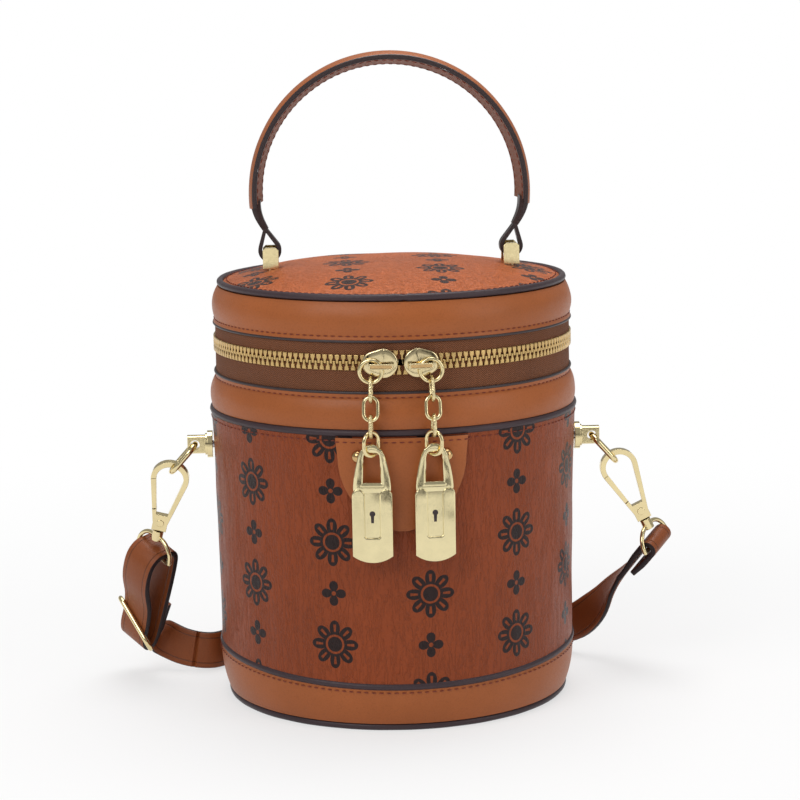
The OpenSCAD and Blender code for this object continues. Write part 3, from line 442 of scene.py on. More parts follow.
def lining_cloth(name):
    material, b, shader, where = new_material(name)
    place = b.vector("MULTIPLY", where, (1000, 1000, 1000))
    parts = b.node("ShaderNodeSeparateXYZ", {0: place}).outputs
    warp = b.math("SINE", b.math("MULTIPLY", b.math("ADD", parts[0], parts[1]), 9.0))
    weft = b.math("SINE", b.math("MULTIPLY", b.math("ADD", parts[2], b.math("MULTIPLY", parts[1], 0.3)), 9.0))
    weave = b.math("ADD", b.math("MULTIPLY", b.math("MULTIPLY", warp, weft), 0.5), 0.5)
    cloud = b.group(PATINA, Vector=where, Size=26.0)[0]
    base = b.mix(weave, tint(96, 78, 66), tint(140, 118, 100))
    base = b.mix(b.math("MULTIPLY", cloud, 0.35), base, tint(90, 72, 60))
    b.tree.links.new(base, shader.inputs["Base Color"])
    shader.inputs["Roughness"].default_value = 0.85
    bump(b, shader, weave, 0.08 * MM)
    return material


def metal(name, colour, rough, scratches=0.4, cut=0.0, waves=0.0, corner=0.9):
    """Plated metal with painted shade in its corners: a slow change of shine, hairlines, for the chains small facets
    cut in the wire, and for the flat pulls the slow waves of a cast face."""
    material, b, shader, where = new_material(name)
    cloud, speck = b.group(PATINA, Vector=where, Size=7.0)[:2]
    place = b.vector("MULTIPLY", where, (1000, 1000, 1000))
    hair = b.noise(b.vector("MULTIPLY", place, (6.0, 6.0, 0.7)), 1.0, 4.0, 0.7)
    base = b.mix(b.math("MULTIPLY", cloud, 0.4), colour, darker(colour, 0.8))
    # painted shade: the base colour darkens almost to black where other surfaces lie within corner millimetres, in
    # corners, grooves and where parts touch
    ao_corner_shade = b.node("ShaderNodeAmbientOcclusion", {"Distance": corner * MM}, samples=16).outputs["AO"]
    base = b.mix(b.ramp(ao_corner_shade, 0.15, 0.6), darker(colour, 0.1), base)
    b.tree.links.new(base, shader.inputs["Base Color"])
    b.tree.links.new(b.ramp(speck, 0.2, 0.8, rough * 0.7, rough * 1.5), shader.inputs["Roughness"])
    shader.inputs["Metallic"].default_value = 1.0
    height = b.math("MULTIPLY", hair, scratches)
    edges = b.node("ShaderNodeBevel", {"Radius": 0.3 * MM}, samples=6).outputs[0]
    if cut:
        facets = b.node("ShaderNodeTexVoronoi", {"Vector": place, "Scale": 1.7}, feature="F1").outputs["Distance"]
        height = b.math("ADD", height, b.math("MULTIPLY", facets, cut))
    if waves:
        slow = b.noise(place, 0.12, 0.0, 0.0)
        swell = b.node("ShaderNodeBump", {"Height": slow, "Distance": waves * MM, "Normal": edges})
        edges = swell.outputs["Normal"]
    relief = b.node("ShaderNodeBump", {"Height": height, "Distance": (0.3 if cut else 0.02) * MM, "Normal": edges})
    b.tree.links.new(relief.outputs["Normal"], shader.inputs["Normal"])
    return material


def plain_grained(name, dark, light, size, rough, depth):
    """Board, foam, thread and painted edges: two tones in a fine random grain."""
    material, b, shader, where = new_material(name)
    place = b.vector("MULTIPLY", where, (1000, 1000, 1000))
    grain = b.noise(place, 1 / size, 4.0, 0.6)
    b.tree.links.new(b.mix(b.ramp(grain, 0.3, 0.7), dark, light), shader.inputs["Base Color"])
    b.tree.links.new(b.ramp(grain, 0.2, 0.8, rough - 0.08, rough + 0.08), shader.inputs["Roughness"])
    bump(b, shader, grain, depth * MM)
    return material


TAN = tint(168, 94, 48)
smooth_leather = leather("smooth_leather", TAN, 0.55, 0.05, 0.05, 0.4)
strap_leather = leather("strap_leather", tint(138, 74, 38), 0.5, 0.1, 0.06, 0.42, across="across")
backing_leather = leather("backing_leather", tint(136, 84, 58), 1.1, 0.25, 0.12, 0.55)
wall_leather_painted_darker = printed_leather("wall_leather_painted_darker", False)
lid_leather_painted_lighter = printed_leather("lid_leather_painted_lighter", True)
piping_leather = leather("piping_leather", tint(66, 52, 56), 0.6, 0.1, 0.06, 0.4)
# dark paint of the leather edges, also used as painted shade for the padlocks' keyholes
edge_paint_and_keyhole_shade = plain_grained("edge_paint_and_keyhole_shade", tint(38, 28, 30), tint(62, 46, 46), 0.5, 0.42, 0.04)
thread = plain_grained("thread", tint(84, 26, 16), tint(140, 58, 34), 0.3, 0.7, 0.1)
tape_cloth = woven_tape("tape_cloth")
lining = lining_cloth("lining")
board = plain_grained("board", tint(140, 118, 88), tint(178, 152, 116), 0.9, 0.85, 0.08)
gold = metal("gold", tint(236, 218, 168), 0.12)
chain_gold = metal("chain_gold", tint(236, 218, 168), 0.14, cut=0.5)
cast_gold = metal("cast_gold", tint(232, 218, 172), 0.1, waves=0.13, scratches=0.12)
pull_gold = metal("pull_gold", tint(230, 212, 166), 0.13, scratches=0.06, corner=1.6)
# darker gold: the rivet heads' own tone, and painted shade on the sliders' bridge floors
rivet_gold_and_painted_shade = metal("rivet_gold_and_painted_shade", tint(206, 170, 118), 0.16, scratches=0.1)
brass = metal("brass", tint(214, 180, 120), 0.26, 0.8)
steel = metal("steel", tint(200, 200, 204), 0.2)


# ---------------------------------------------------------------- geometry nodes

def stitch_tree():
    """Stitches along a path: one small rounded thread to each step, lying on the surface."""
    tree = bpy.data.node_groups.new("stitch_row", "GeometryNodeTree")
    made = {"Geometry": "NodeSocketGeometry", "Pitch": "NodeSocketFloat", "Length": "NodeSocketFloat",
            "Width": "NodeSocketFloat", "Slant": "NodeSocketFloat", "Thread": "NodeSocketMaterial"}
    for label, kind in made.items():
        tree.interface.new_socket(name=label, in_out="INPUT", socket_type=kind)
    tree.interface.new_socket(name="Geometry", in_out="OUTPUT", socket_type="NodeSocketGeometry")
    b = Bench(tree)
    start, end = tree.nodes.new("NodeGroupInput"), tree.nodes.new("NodeGroupOutput")
    path = b.node("GeometryNodeMeshToCurve", {"Mesh": start.outputs["Geometry"]}).outputs[0]
    steps = b.node("GeometryNodeResampleCurve", {"Curve": path, "Length": start.outputs["Pitch"]}, mode="LENGTH")
    bead = b.node("GeometryNodeMeshUVSphere", {"Segments": 8, "Rings": 5, "Radius": 0.5}).outputs["Mesh"]
    size = b.node("ShaderNodeCombineXYZ", {0: start.outputs["Length"], 1: start.outputs["Width"],
                                           2: start.outputs["Width"]}).outputs[0]
    lean = b.node("ShaderNodeCombineXYZ", {2: start.outputs["Slant"]}).outputs[0]
    to_turn = b.node("FunctionNodeEulerToRotation", {0: lean}).outputs[0]
    thread_bit = b.node("GeometryNodeTransform", {"Geometry": bead, "Scale": size, "Rotation": to_turn}).outputs[0]
    tangent = b.node("GeometryNodeInputTangent").outputs[0]
    out = b.node("GeometryNodeInputNamedAttribute", {"Name": "out"}, data_type="FLOAT_VECTOR").outputs[0]
    along = b.node("FunctionNodeAlignRotationToVector", {"Vector": tangent}, axis="X").outputs[0]
    face = b.node("FunctionNodeAlignRotationToVector", {"Rotation": along, "Vector": out},
                  axis="Z", pivot_axis="X").outputs[0]
    row = b.node("GeometryNodeInstanceOnPoints", {"Points": steps.outputs[0], "Instance": thread_bit,
                                                  "Rotation": face}).outputs[0]
    solid = b.node("GeometryNodeRealizeInstances", {"Geometry": row}).outputs[0]
    painted = b.node("GeometryNodeSetMaterial", {"Geometry": solid, "Material": start.outputs["Thread"]}).outputs[0]
    tree.links.new(painted, end.inputs[0])
    return tree


def teeth_tree():
    """A row of zip teeth, one at each point, turned to face out of the tape."""
    tree = bpy.data.node_groups.new("teeth_row", "GeometryNodeTree")
    made = {"Geometry": "NodeSocketGeometry", "Tooth": "NodeSocketObject", "Metal": "NodeSocketMaterial"}
    for label, kind in made.items():
        tree.interface.new_socket(name=label, in_out="INPUT", socket_type=kind)
    tree.interface.new_socket(name="Geometry", in_out="OUTPUT", socket_type="NodeSocketGeometry")
    b = Bench(tree)
    start, end = tree.nodes.new("NodeGroupInput"), tree.nodes.new("NodeGroupOutput")
    places = b.node("GeometryNodeMeshToPoints", {"Mesh": start.outputs["Geometry"]}).outputs[0]
    one = b.node("GeometryNodeObjectInfo", {"Object": start.outputs["Tooth"]}).outputs["Geometry"]
    turn = b.node("GeometryNodeInputNamedAttribute", {"Name": "turn"}, data_type="FLOAT").outputs[0]
    euler = b.node("ShaderNodeCombineXYZ", {2: turn}).outputs[0]
    turned_by = b.node("FunctionNodeEulerToRotation", {0: euler}).outputs[0]
    row = b.node("GeometryNodeInstanceOnPoints", {"Points": places, "Instance": one, "Rotation": turned_by}).outputs[0]
    solid = b.node("GeometryNodeRealizeInstances", {"Geometry": row}).outputs[0]
    painted = b.node("GeometryNodeSetMaterial", {"Geometry": solid, "Material": start.outputs["Metal"]}).outputs[0]
    tree.links.new(painted, end.inputs[0])
    return tree


STITCHES, TEETH = stitch_tree(), teeth_tree()


def grow(piece, tree, material, angle=60, **values):
    """Runs a tree on the piece and keeps its result as the piece's plain mesh."""
    modifier = piece.modifiers.new(tree.name, "NODES")
    modifier.node_group = tree
    sockets = {s.name: s.identifier for s in tree.interface.items_tree if s.in_out == "INPUT"}
    for label, value in values.items():
        modifier[sockets[label]] = value
    bpy.context.view_layer.update()
    depsgraph = bpy.context.evaluated_depsgraph_get()
    mesh = bpy.data.meshes.new_from_object(piece.evaluated_get(depsgraph))
    piece.modifiers.clear()
    piece.data = mesh
    mesh.materials.clear()
    mesh.materials.append(material)
    mesh.polygons.foreach_set("material_index", [0] * len(mesh.polygons))
    return smooth(piece, angle)


def stitch_row(name, points, outward, body, pitch=3.0, length=2.1, width=0.55, closed=False, slant=0.0):
    """Stitches on a path of points in millimetres, with the way out of the surface at each."""
    mesh = bpy.data.meshes.new(name)
    edges = [(i, i + 1) for i in range(len(points) - 1)]
    if closed:
        edges.append((len(points) - 1, 0))
    mesh.from_pydata([tuple(MM * c for c in p) for p in points], edges, [])
    out = mesh.attributes.new("out", "FLOAT_VECTOR", "POINT")
    out.data.foreach_set("vector", np.array(outward, np.float32).ravel())
    piece = bpy.data.objects.new(name, mesh)
    scene.collection.objects.link(piece)
    grow(piece, STITCHES, thread, Pitch=pitch * MM, Length=length * MM, Width=width * MM,
         Slant=slant, Thread=thread)
    return settle(piece, body, "smooth_leather")


def stitch_ring(name, radius, height, body, tilt=0.0, start=0.0, sweep=2 * math.pi, **sizes):
    """Stitches round the bag; radius and height are functions of the angle, tilt lifts the way out."""
    closed = abs(sweep - 2 * math.pi) < 1e-6
    steps = max(8, int(abs(sweep) * 60))
    angles = [start + sweep * i / steps for i in range(steps if closed else steps + 1)]
    points = [(radius(a) * math.cos(a), radius(a) * math.sin(a), height(a)) for a in angles]
    outward = [(math.cos(a) * math.cos(tilt), math.sin(a) * math.cos(tilt), math.sin(tilt)) for a in angles]
    return stitch_row(name, points, outward, body, closed=closed, **sizes)


# ---------------------------------------------------------------- copies of the frame's nodes

def finished_copy(node, name, material, slot, body, edge=0.0, segments=2, paint=None, across=None, angle=32):
    """A node's shape with its edges rounded by edge millimetres. paint(normal, centre) is true where the edge
    paint goes, and across gives a strap's place across its width from -1 to 1."""
    source = frame["nodes"][node].data
    mesh = bpy.data.meshes.new(name)
    mesh.from_pydata([v.co[:] for v in source.vertices], [], [p.vertices[:] for p in source.polygons])
    work = bmesh.new()
    work.from_mesh(mesh)
    bmesh.ops.remove_doubles(work, verts=work.verts, dist=2e-6)
    if edge:
        bmesh.ops.dissolve_limit(work, angle_limit=math.radians(1.5), verts=work.verts, edges=work.edges)
    work.to_mesh(mesh)
    work.free()
    mesh.materials.append(material)
    if paint:
        mesh.materials.append(edge_paint_and_keyhole_shade)
        for p in mesh.polygons:
            p.material_index = 1 if paint(p.normal, p.center) else 0
    piece = bpy.data.objects.new(name, mesh)
    scene.collection.objects.link(piece)
    if edge:
        rounding = piece.modifiers.new("rounded_edges", "BEVEL")
        rounding.width = edge * MM
        rounding.segments = segments
        rounding.limit_method = "ANGLE"
        rounding.angle_limit = math.radians(angle)
        rounding.use_clamp_overlap = True
        bpy.context.view_layer.update()
        depsgraph = bpy.context.evaluated_depsgraph_get()
        rounded = bpy.data.meshes.new_from_object(piece.evaluated_get(depsgraph))
        piece.modifiers.clear()
        piece.data = rounded
    if across:
        values = [across(v.co) for v in piece.data.vertices]
        piece.data.attributes.new("across", "FLOAT", "POINT").data.foreach_set("value", values)
    smooth(piece, angle)
    return settle(piece, body, slot, node)


# ---------------------------------------------------------------- padded pieces

def puffed(piece, voxel, pinned, cap, pressure=4.0):
    """The piece filled out by a short cloth simulation, held where pinned(point in millimetres) says,
    no point moving more than cap millimetres. With no voxel size it runs on the piece's own mesh."""
    material = piece.data.materials[0]
    if voxel:
        remesh = piece.modifiers.new("even_mesh", "REMESH")
        remesh.mode = "VOXEL"
        remesh.voxel_size = voxel * MM
        bpy.context.view_layer.update()
        depsgraph = bpy.context.evaluated_depsgraph_get()
        piece.data = bpy.data.meshes.new_from_object(piece.evaluated_get(depsgraph))
        piece.modifiers.clear()
    mesh = piece.data
    rest = np.array([v.co for v in mesh.vertices])
    held = piece.vertex_groups.new(name="held")
    grip = [pinned(*(p / MM)) for p in rest]
    for i, share in enumerate(grip):
        if share > 0:
            held.add([i], share, "REPLACE")
    cloth = piece.modifiers.new("filling", "CLOTH")
    cloth.settings.use_pressure = True
    cloth.settings.uniform_pressure_force = pressure
    cloth.settings.effector_weights.gravity = 0
    cloth.settings.vertex_group_mass = "held"
    cloth.settings.quality = 5
    cloth.settings.mass = 0.15
    cloth.settings.tension_stiffness = 25
    cloth.settings.compression_stiffness = 25
    cloth.settings.bending_stiffness = 0.6
    cloth.point_cache.frame_start, cloth.point_cache.frame_end = 1, 20
    for f in range(1, 21):
        scene.frame_set(f)
    depsgraph = bpy.context.evaluated_depsgraph_get()
    filled = piece.evaluated_get(depsgraph).data
    moved = np.array([v.co for v in filled.vertices])
    piece.modifiers.clear()
    scene.frame_set(1)
    step = moved - rest
    length = np.linalg.norm(step, axis=1, keepdims=True)
    step *= np.minimum(1, cap * MM / np.maximum(length, 1e-9))
    mesh.vertices.foreach_set("co", (rest + step).astype(np.float32).ravel())
    mesh.update()
    if not voxel:
        piece.vertex_groups.clear()
        return piece
    finer = piece.modifiers.new("finer", "SUBSURF")
    finer.levels = finer.render_levels = 1
    bpy.context.view_layer.update()
    depsgraph = bpy.context.evaluated_depsgraph_get()
    piece.data = bpy.data.meshes.new_from_object(piece.evaluated_get(depsgraph))
    piece.modifiers.clear()
    piece.vertex_groups.clear()
    piece.data.materials.clear()
    piece.data.materials.append(material)
    return smooth(piece, 60)


# ---------------------------------------------------------------- body

def front_share(a):
    """1 at the front, falling to 0 at the sides."""
    return max(0.0, math.cos(a - FRONT))


def seam_dip(a):
    """How far the seam over the base band sags at the front."""
    return 3.6 * front_share(a) ** 2


def wall_r(z):
    t = min(1, max(0, (z - BAND_H) / (WALL_TOP - BAND_H)))
    return WALL_R - 0.2 + t ** 1.6 * (WALL_TOP_R - WALL_R + 0.2)


def wall_shift(a, r, z, k):
    x, y = r * math.cos(a), r * math.sin(a)
    calm = min(1, (z - BAND_H) / 8, (WALL_TOP - z) / 8)
    calm = max(0, calm)
    streak = ripple(x, y, z / 7, 3.4, 1.7) * 0.16 + ripple(x, y, z / 3.5, 9, 4.2) * 0.3
    soft = ripple(x, y, z, 34, 8.1) * 0.45
    low = max(0.0, 1 - (z - BAND_H) / 45)
    return r + calm * (streak + soft) - 0.25 * calm, z - seam_dip(a) * low


def round_tube(name, radius, height, d, material, steps=240, seam=None, bend=None):
    """Piping: a cord in leather, a little uneven, with a butt joint at the angle seam."""
    section = [(math.cos(t), math.sin(t)) for t in [2 * math.pi * i / 12 for i in range(12)]]
    profile = [(radius + d / 2 * c, height + d / 2 * s) for c, s in section]

    def shift(a, r, z, k):
        c, s = section[k]
        swell = 1 + 0.05 * ripple(60 * math.cos(a), 60 * math.sin(a), height, 9, 3.0)
        if seam is not None:
            off = abs((a - seam + math.pi) % (2 * math.pi) - math.pi) * radius
            swell -= 0.26 * math.exp(-(off / 0.9) ** 2) - 0.1 * math.exp(-((off - 2.6) / 1.6) ** 2)
        dr, dz = bend(a) if bend else (0, 0)
        return radius + dr + d / 2 * swell * c, height + dz + d / 2 * swell * s

    return turned(name, profile, material, steps=steps, shift=shift)


outer = [(wall_r(z), z) for z in np.linspace(BAND_H - 0.4, WALL_TOP - 1.2, 92)]
inner = [(r - 2.2, z) for r, z in reversed(outer[::6])]
wall = turned("printed_wall", outer + inner, wall_leather_painted_darker, steps=480, shift=wall_shift)
settle(wall, "bag", "printed_leather", "body_panel")

band_outer = bulge(BASE_R, PIPING_D + 0.15, WALL_R - 0.2, BAND_H - 1.2, BAND_BULGE + 0.35, 20)
band_inner = [(r - 1.3, z) for r, z in reversed(band_outer[::4])]


def band_shift(a, r, z, k):
    rise = (z / BAND_H) ** 2
    soft = ripple(r * math.cos(a), r * math.sin(a), z, 22, 5.5) * 0.22
    return r + soft * math.sin(math.pi * min(1, z / BAND_H)), z - seam_dip(a) * rise


band = turned("base_band_leather", band_outer + band_inner, smooth_leather, steps=240, shift=band_shift)
settle(band, "bag", "smooth_leather", "base_band")

bottom_piping = round_tube("bottom_piping", BASE_R - PIPING_D / 2, PIPING_D / 2, PIPING_D, piping_leather)
settle(bottom_piping, "bag", "piping", "base_piping")
middle_piping = round_tube("band_piping_cord", WALL_R + BAND_BULGE - PIPING_D / 2, BAND_H, PIPING_D, piping_leather,
                           bend=lambda a: (-0.15, -seam_dip(a)), seam=math.radians(100))
settle(middle_piping, "bag", "piping", "band_piping")
top_piping = round_tube("wall_piping_cord", WALL_TOP_R + 0.6 - PIPING_D / 2, WALL_TOP, PIPING_D, piping_leather,
                        seam=math.radians(95))
settle(top_piping, "bag", "piping", "wall_piping")

base = finished_copy("base_panel", "base_leather", smooth_leather, "smooth_leather", "bag", 0.3)
finished_copy("base_board", "base_stiffener", board, "board", "bag")

stitch_ring("band_stitches", lambda a: WALL_R + 0.32, lambda a: BAND_H - 2.5 - seam_dip(a) * 0.9, "bag",
            length=2.0, width=0.5)
patch_half = math.radians(20.6)
stitch_ring("wall_top_stitches", lambda a: wall_r(WALL_TOP - 3) + 0.02, lambda a: WALL_TOP - 2.9, "bag",
            start=FRONT + patch_half, sweep=2 * math.pi - 2 * patch_half)
stitch_ring("patch_top_stitches", lambda a: wall_r(WALL_TOP - 3) + 1.42, lambda a: WALL_TOP - 3.2, "bag",
            start=FRONT - patch_half * 0.93, sweep=patch_half * 1.86)


# Padded collar under the zip
def lower_collar_profile():
    crown = bulge(WALL_TOP_R - 0.4, WALL_TOP + 1.5, WALL_R - 0.1, LOWER_TOP - 2.6, 1.15, 16)
    lip = [(WALL_R - 0.62, LOWER_TOP - 2.1), (WALL_R - 0.55, LOWER_TOP - 1.5), (WALL_R - 0.28, LOWER_TOP - 0.8),
           (WALL_R - 0.3, LOWER_TOP - 0.25), (WALL_R - 0.5, LOWER_TOP)]
    inside = [(COLLAR_IN_R, LOWER_TOP), (COLLAR_IN_R - 0.2, WALL_TOP + 8), (COLLAR_IN_R - 0.2, WALL_TOP + 1.5)]
    return crown + lip + inside


def soft_shift(seed, low, high, amount):
    """Slow unevenness of stuffed leather between two heights."""
    def shift(a, r, z, k):
        t = max(0, min(1, (z - low) / (high - low)))
        x, y = r * math.cos(a), r * math.sin(a)
        swell = ripple(x, y, z * 2, 17, seed) * amount + ripple(x, y, z, 5, seed + 3) * amount * 0.25
        return r + swell * math.sin(math.pi * t), z
    return shift


def held_edges(low, high, inside_r, seam_z):
    """Holds the inside, the two edges and the stitched line of a collar."""
    def pinned(x, y, z):
        r = math.hypot(x, y)
        if r < inside_r or z < low + 1 or z > high - 1 or abs(z - seam_z) < 0.7:
            return 1.0
        return 0.0
    return pinned


lower_collar = turned("lower_collar_pad", lower_collar_profile(), smooth_leather, steps=300,
                      shift=soft_shift(2.2, WALL_TOP, LOWER_TOP - 3, 0.3))
lower_collar = puffed(lower_collar, None,
                      held_edges(WALL_TOP + 1.5, LOWER_TOP, COLLAR_IN_R + 0.3, LOWER_TOP - 1.9), 0.5, 3.0)
settle(lower_collar, "bag", "smooth_leather", "lower_collar")
lower_lip = round_tube("lower_collar_edge", WALL_R - 0.55, LOWER_TOP + 0.05, 1.15, edge_paint_and_keyhole_shade)
settle(lower_lip, "bag", "smooth_leather")
stitch_ring("lower_collar_stitches", lambda a: WALL_R - 0.58, lambda a: LOWER_TOP - 1.9, "bag", length=2.0, width=0.5)


# Lid
def rim_wave(a):
    """The lid's edge sags a little left of its front, up to the joint of the piping."""
    off = a - FRONT
    return -1.1 * math.exp(-((off + 0.28) / 0.3) ** 2) + 0.35 * math.exp(-((off - 0.08) / 0.12) ** 2)


def upper_collar_profile():
    top = RIM_Z - 1.55
    crown = bulge(UPPER_R - 0.55, UPPER_Z + 2.7, LID_R - 0.3, top, 1.45, 18)
    lip = [(UPPER_R - 0.5, UPPER_Z), (UPPER_R - 0.35, UPPER_Z + 0.35), (UPPER_R - 0.4, UPPER_Z + 0.9),
           (UPPER_R - 0.75, UPPER_Z + 1.6), (UPPER_R - 0.72, UPPER_Z + 2.2)]
    return lip + crown + [(LID_R - 1.9, top), (COLLAR_IN_R - 2.0, top - 4), (COLLAR_IN_R - 0.2, top - 6),
                          (COLLAR_IN_R - 0.2, UPPER_Z)]


def upper_shift(a, r, z, k):
    r, z = soft_shift(6.4, UPPER_Z + 2, RIM_Z, 0.3)(a, r, z, k)
    t = max(0, (z - UPPER_Z) / (RIM_Z - UPPER_Z))
    off = a - FRONT - 0.12
    crease = math.exp(-((z - (RIM_Z - 4.2)) / 0.55) ** 2) * math.exp(-(off / 0.42) ** 2)
    if r > LID_R - 1:
        r -= 0.3 * crease
    return r, z + rim_wave(a) * t ** 2


upper_collar = turned("upper_collar_pad", upper_collar_profile(), smooth_leather, steps=300, shift=upper_shift)
upper_collar = puffed(upper_collar, None,
                      held_edges(UPPER_Z, RIM_Z - 1.5, COLLAR_IN_R - 0.2, UPPER_Z + 1.9), 0.5, 3.0)
settle(upper_collar, "lid", "smooth_leather", "upper_collar")
upper_lip = round_tube("upper_collar_edge", UPPER_R - 0.6, UPPER_Z - 0.05, 1.15, edge_paint_and_keyhole_shade)
settle(upper_lip, "lid", "smooth_leather")
stitch_ring("upper_collar_stitches", lambda a: UPPER_R - 0.68, lambda a: UPPER_Z + 1.9, "lid", length=2.0, width=0.5)

lid_cord = round_tube("lid_piping_cord", LID_R - PIPING_D / 2, RIM_Z, PIPING_D, piping_leather,
                      seam=FRONT + 0.02, bend=lambda a: (0, rim_wave(a)))
settle(lid_cord, "lid", "piping", "lid_piping")


def dome_z(r):
    return RIM_Z + LID_DOME * (1 - (r / LID_SEAT_R) ** 3)


def lid_profile():
    rim = LID_SEAT_R - 1.2
    top = [(rim * i / 44, dome_z(rim * i / 44)) for i in range(45)]
    return [(r, z - 2.5) for r, z in top] + [(rim + 0.6, RIM_Z - 1.2)] + top[::-1]


def lid_shift(a, r, z, k):
    x, y = r * math.cos(a), r * math.sin(a)
    pucker = max(0, min(1, (r - 40) / 28)) ** 2
    waves = math.cos(a * 31 + 4 * ripple(x, y, 0, 30, 9)) * 0.14 + ripple(x, y, 0, 6, 2.5) * 0.25
    soft = ripple(x, y, 0, 24, 7.3) * 0.55 * (1 - (r / LID_SEAT_R) ** 4)
    return r, z + pucker * waves + soft + rim_wave(a) * (r / LID_SEAT_R) ** 3


def lid_held(x, y, z):
    r = math.hypot(x, y)
    if r > LID_SEAT_R - 2.6 or z < dome_z(min(r, LID_SEAT_R)) - 1.6:
        return 1.0
    near_staple = min(math.hypot(abs(x) - 49, abs(y) - 5.7), 99)
    return 1.0 if near_staple < 4 else 0.0


lid_pad = turned("lid_pad", lid_profile(), lid_leather_painted_lighter, steps=256, shift=lid_shift)
lid_pad = puffed(lid_pad, 1.25, lid_held, 0.8, 4.0)
settle(lid_pad, "lid", "printed_leather", "lid_panel")
stitch_ring("lid_stitches", lambda a: 67.4, lambda a: dome_z(67.4) + 0.25 + rim_wave(a) * 0.85, "lid", tilt=1.2,
            length=2.0, width=0.5)


# Linings
def lining_piece(name, node, body, seed):
    """The lining's own sheet, softened into shallow folds."""
    piece = finished_copy(node, name, lining, "lining", body)
    fine = bmesh.new()
    fine.from_mesh(piece.data)
    bmesh.ops.recalc_face_normals(fine, faces=fine.faces)
    for v in fine.verts:
        x, y, z = v.co / MM
        fold = ripple(x, y, z / 5, 13, seed) * 0.12
        out = Vector((x, y, 0))
        if out.length > 20:
            v.co -= out.normalized() * abs(fold) * MM
    fine.to_mesh(piece.data)
    fine.free()
    return smooth(piece, 50)


lining_piece("body_lining_cloth", "body_lining", "bag", 1.1)
lining_piece("lid_lining_cloth", "lid_lining", "lid", 5.1)


# ---------------------------------------------------------------- zip

def parting(angle):
    """How far a row stands off the centre line near the sliders; the angle is in degrees from the front."""
    from_a, to_a = SLIDER_ANGLE + 3.4, SLIDER_ANGLE - 0.6
    return PART_GAP * min(1, max(0, (from_a - abs(angle)) / (from_a - to_a)))


def zip_tape(name, way, body, node):
    far = 10 + 5.6 - way * 1.8
    near = 0.75
    r0, r1 = TAPE_R - TAPE_T / 2, TAPE_R + TAPE_T / 2
    heights = [near, near + 0.5, near + 2, near + 5, near + 8, far]
    flat = [(r1, h) for h in heights] + [(r0, h) for h in heights[::-1]]
    if way > 0:
        flat = [flat[0]] + flat[:0:-1]
        flat = flat[::-1]
    profile = [(r, ZIP_Z + way * h) for r, h in flat]
    if way < 0:
        profile = profile[::-1]

    def shift(a, r, z, k):
        off = math.degrees((a - FRONT + math.pi) % (2 * math.pi) - math.pi)
        depth = abs(z - ZIP_Z)
        if depth < near + 1:
            z += way * parting(off) * 0.3
        wave = ripple(r * math.cos(a), r * math.sin(a), z, 8, 3.3) * 0.12
        return r + wave, z

    half = math.radians(TEETH_ANGLE / 2 + 1.0)
    piece = turned(name, profile, tape_cloth, steps=300, shift=shift, start=FRONT - half, sweep=2 * half)
    outward(piece)
    return settle(piece, body, "zip_tape", node)


zip_tape("lower_tape_cloth", -1, "bag", "lower_zip_tape")
zip_tape("upper_tape_cloth", 1, "lid", "upper_zip_tape")


def tooth_object(way):
    """One tooth, rounded along its edges: its head crosses the centre line and its foot grips the tape."""
    half, tip = TOOTH_W / 2, TOOTH_TIP_W / 2
    outline = [(-half, TOOTH_L), (half, TOOTH_L), (half, TOOTH_L * 0.62), (tip, TOOTH_L * 0.3), (tip, -TOOTH_NIB),
               (-tip, -TOOTH_NIB), (-tip, TOOTH_L * 0.3), (-half, TOOTH_L * 0.62)]
    middle = np.mean(outline, axis=0)
    bevel, thick = 0.22, TOOTH_T / 2
    rings = []
    for y, cut in ((-thick, bevel), (-thick + bevel, 0), (thick - bevel, 0), (thick, bevel)):
        ring = []
        for x, z in outline:
            dx = x - cut * (1 if x > 0 else -1)
            dz = z - cut * (1 if z > middle[1] else -1)
            ring.append((dx if cut else x, y, way * (dz if cut else z)))
        rings.append(ring)
    n = len(outline)
    points = [p for ring in rings for p in ring]
    faces = [tuple(range(n)), tuple(reversed(range(3 * n, 4 * n)))]
    for k in range(3):
        for i in range(n):
            j = (i + 1) % n
            faces.append((k * n + i, (k + 1) * n + i, (k + 1) * n + j, k * n + j))
    piece = add_piece("tooth_pattern", points, faces, brass, 25)
    outward(piece)
    return piece


def teeth_row(name, way, body, node):
    step = TOOTH_PITCH / TAPE_R * 180 / math.pi
    count = int(TEETH_ANGLE / step)
    shift = 0.5 if way > 0 else 0.0
    points, turns = [], []
    for i in range(count):
        a = (i + shift - (count - 0.5) / 2) * step
        t = math.radians(a)
        points.append((TAPE_R * math.sin(t), -TAPE_R * math.cos(t), ZIP_Z + way * parting(a)))
        turns.append(t)
    mesh = bpy.data.meshes.new(name)
    mesh.from_pydata([tuple(MM * c for c in p) for p in points], [], [])
    mesh.attributes.new("turn", "FLOAT", "POINT").data.foreach_set("value", turns)
    piece = bpy.data.objects.new(name, mesh)
    scene.collection.objects.link(piece)
    pattern = tooth_object(way)
    grow(piece, TEETH, brass, 25, Tooth=pattern, Metal=brass)
    bpy.data.objects.remove(pattern)
    return settle(piece, body, "zip_teeth", node)


teeth_row("lower_teeth", -1, "bag", "lower_zip_teeth")
teeth_row("upper_teeth", 1, "lid", "upper_zip_teeth")


# Leather hinge at the back, in one piece across the zip's two ends
def hinge_strip():
    half = math.radians(HINGE_ANGLE / 2)
    r0 = TAPE_R - TAPE_T / 2
    levels = np.linspace(LOWER_TOP + 0.2, UPPER_Z - 0.2, 25)
    outside = [(r0 + 1.5 + 0.25 * math.sin(math.pi * i / 24), z) for i, z in enumerate(levels)]
    inside = [(r0, z) for z in levels[::-1]]
    piece = turned("back_hinge", outside + inside, smooth_leather, steps=48, start=math.pi / 2 - half, sweep=2 * half)
    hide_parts("hinge_lower", "hinge_upper")
    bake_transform(piece)


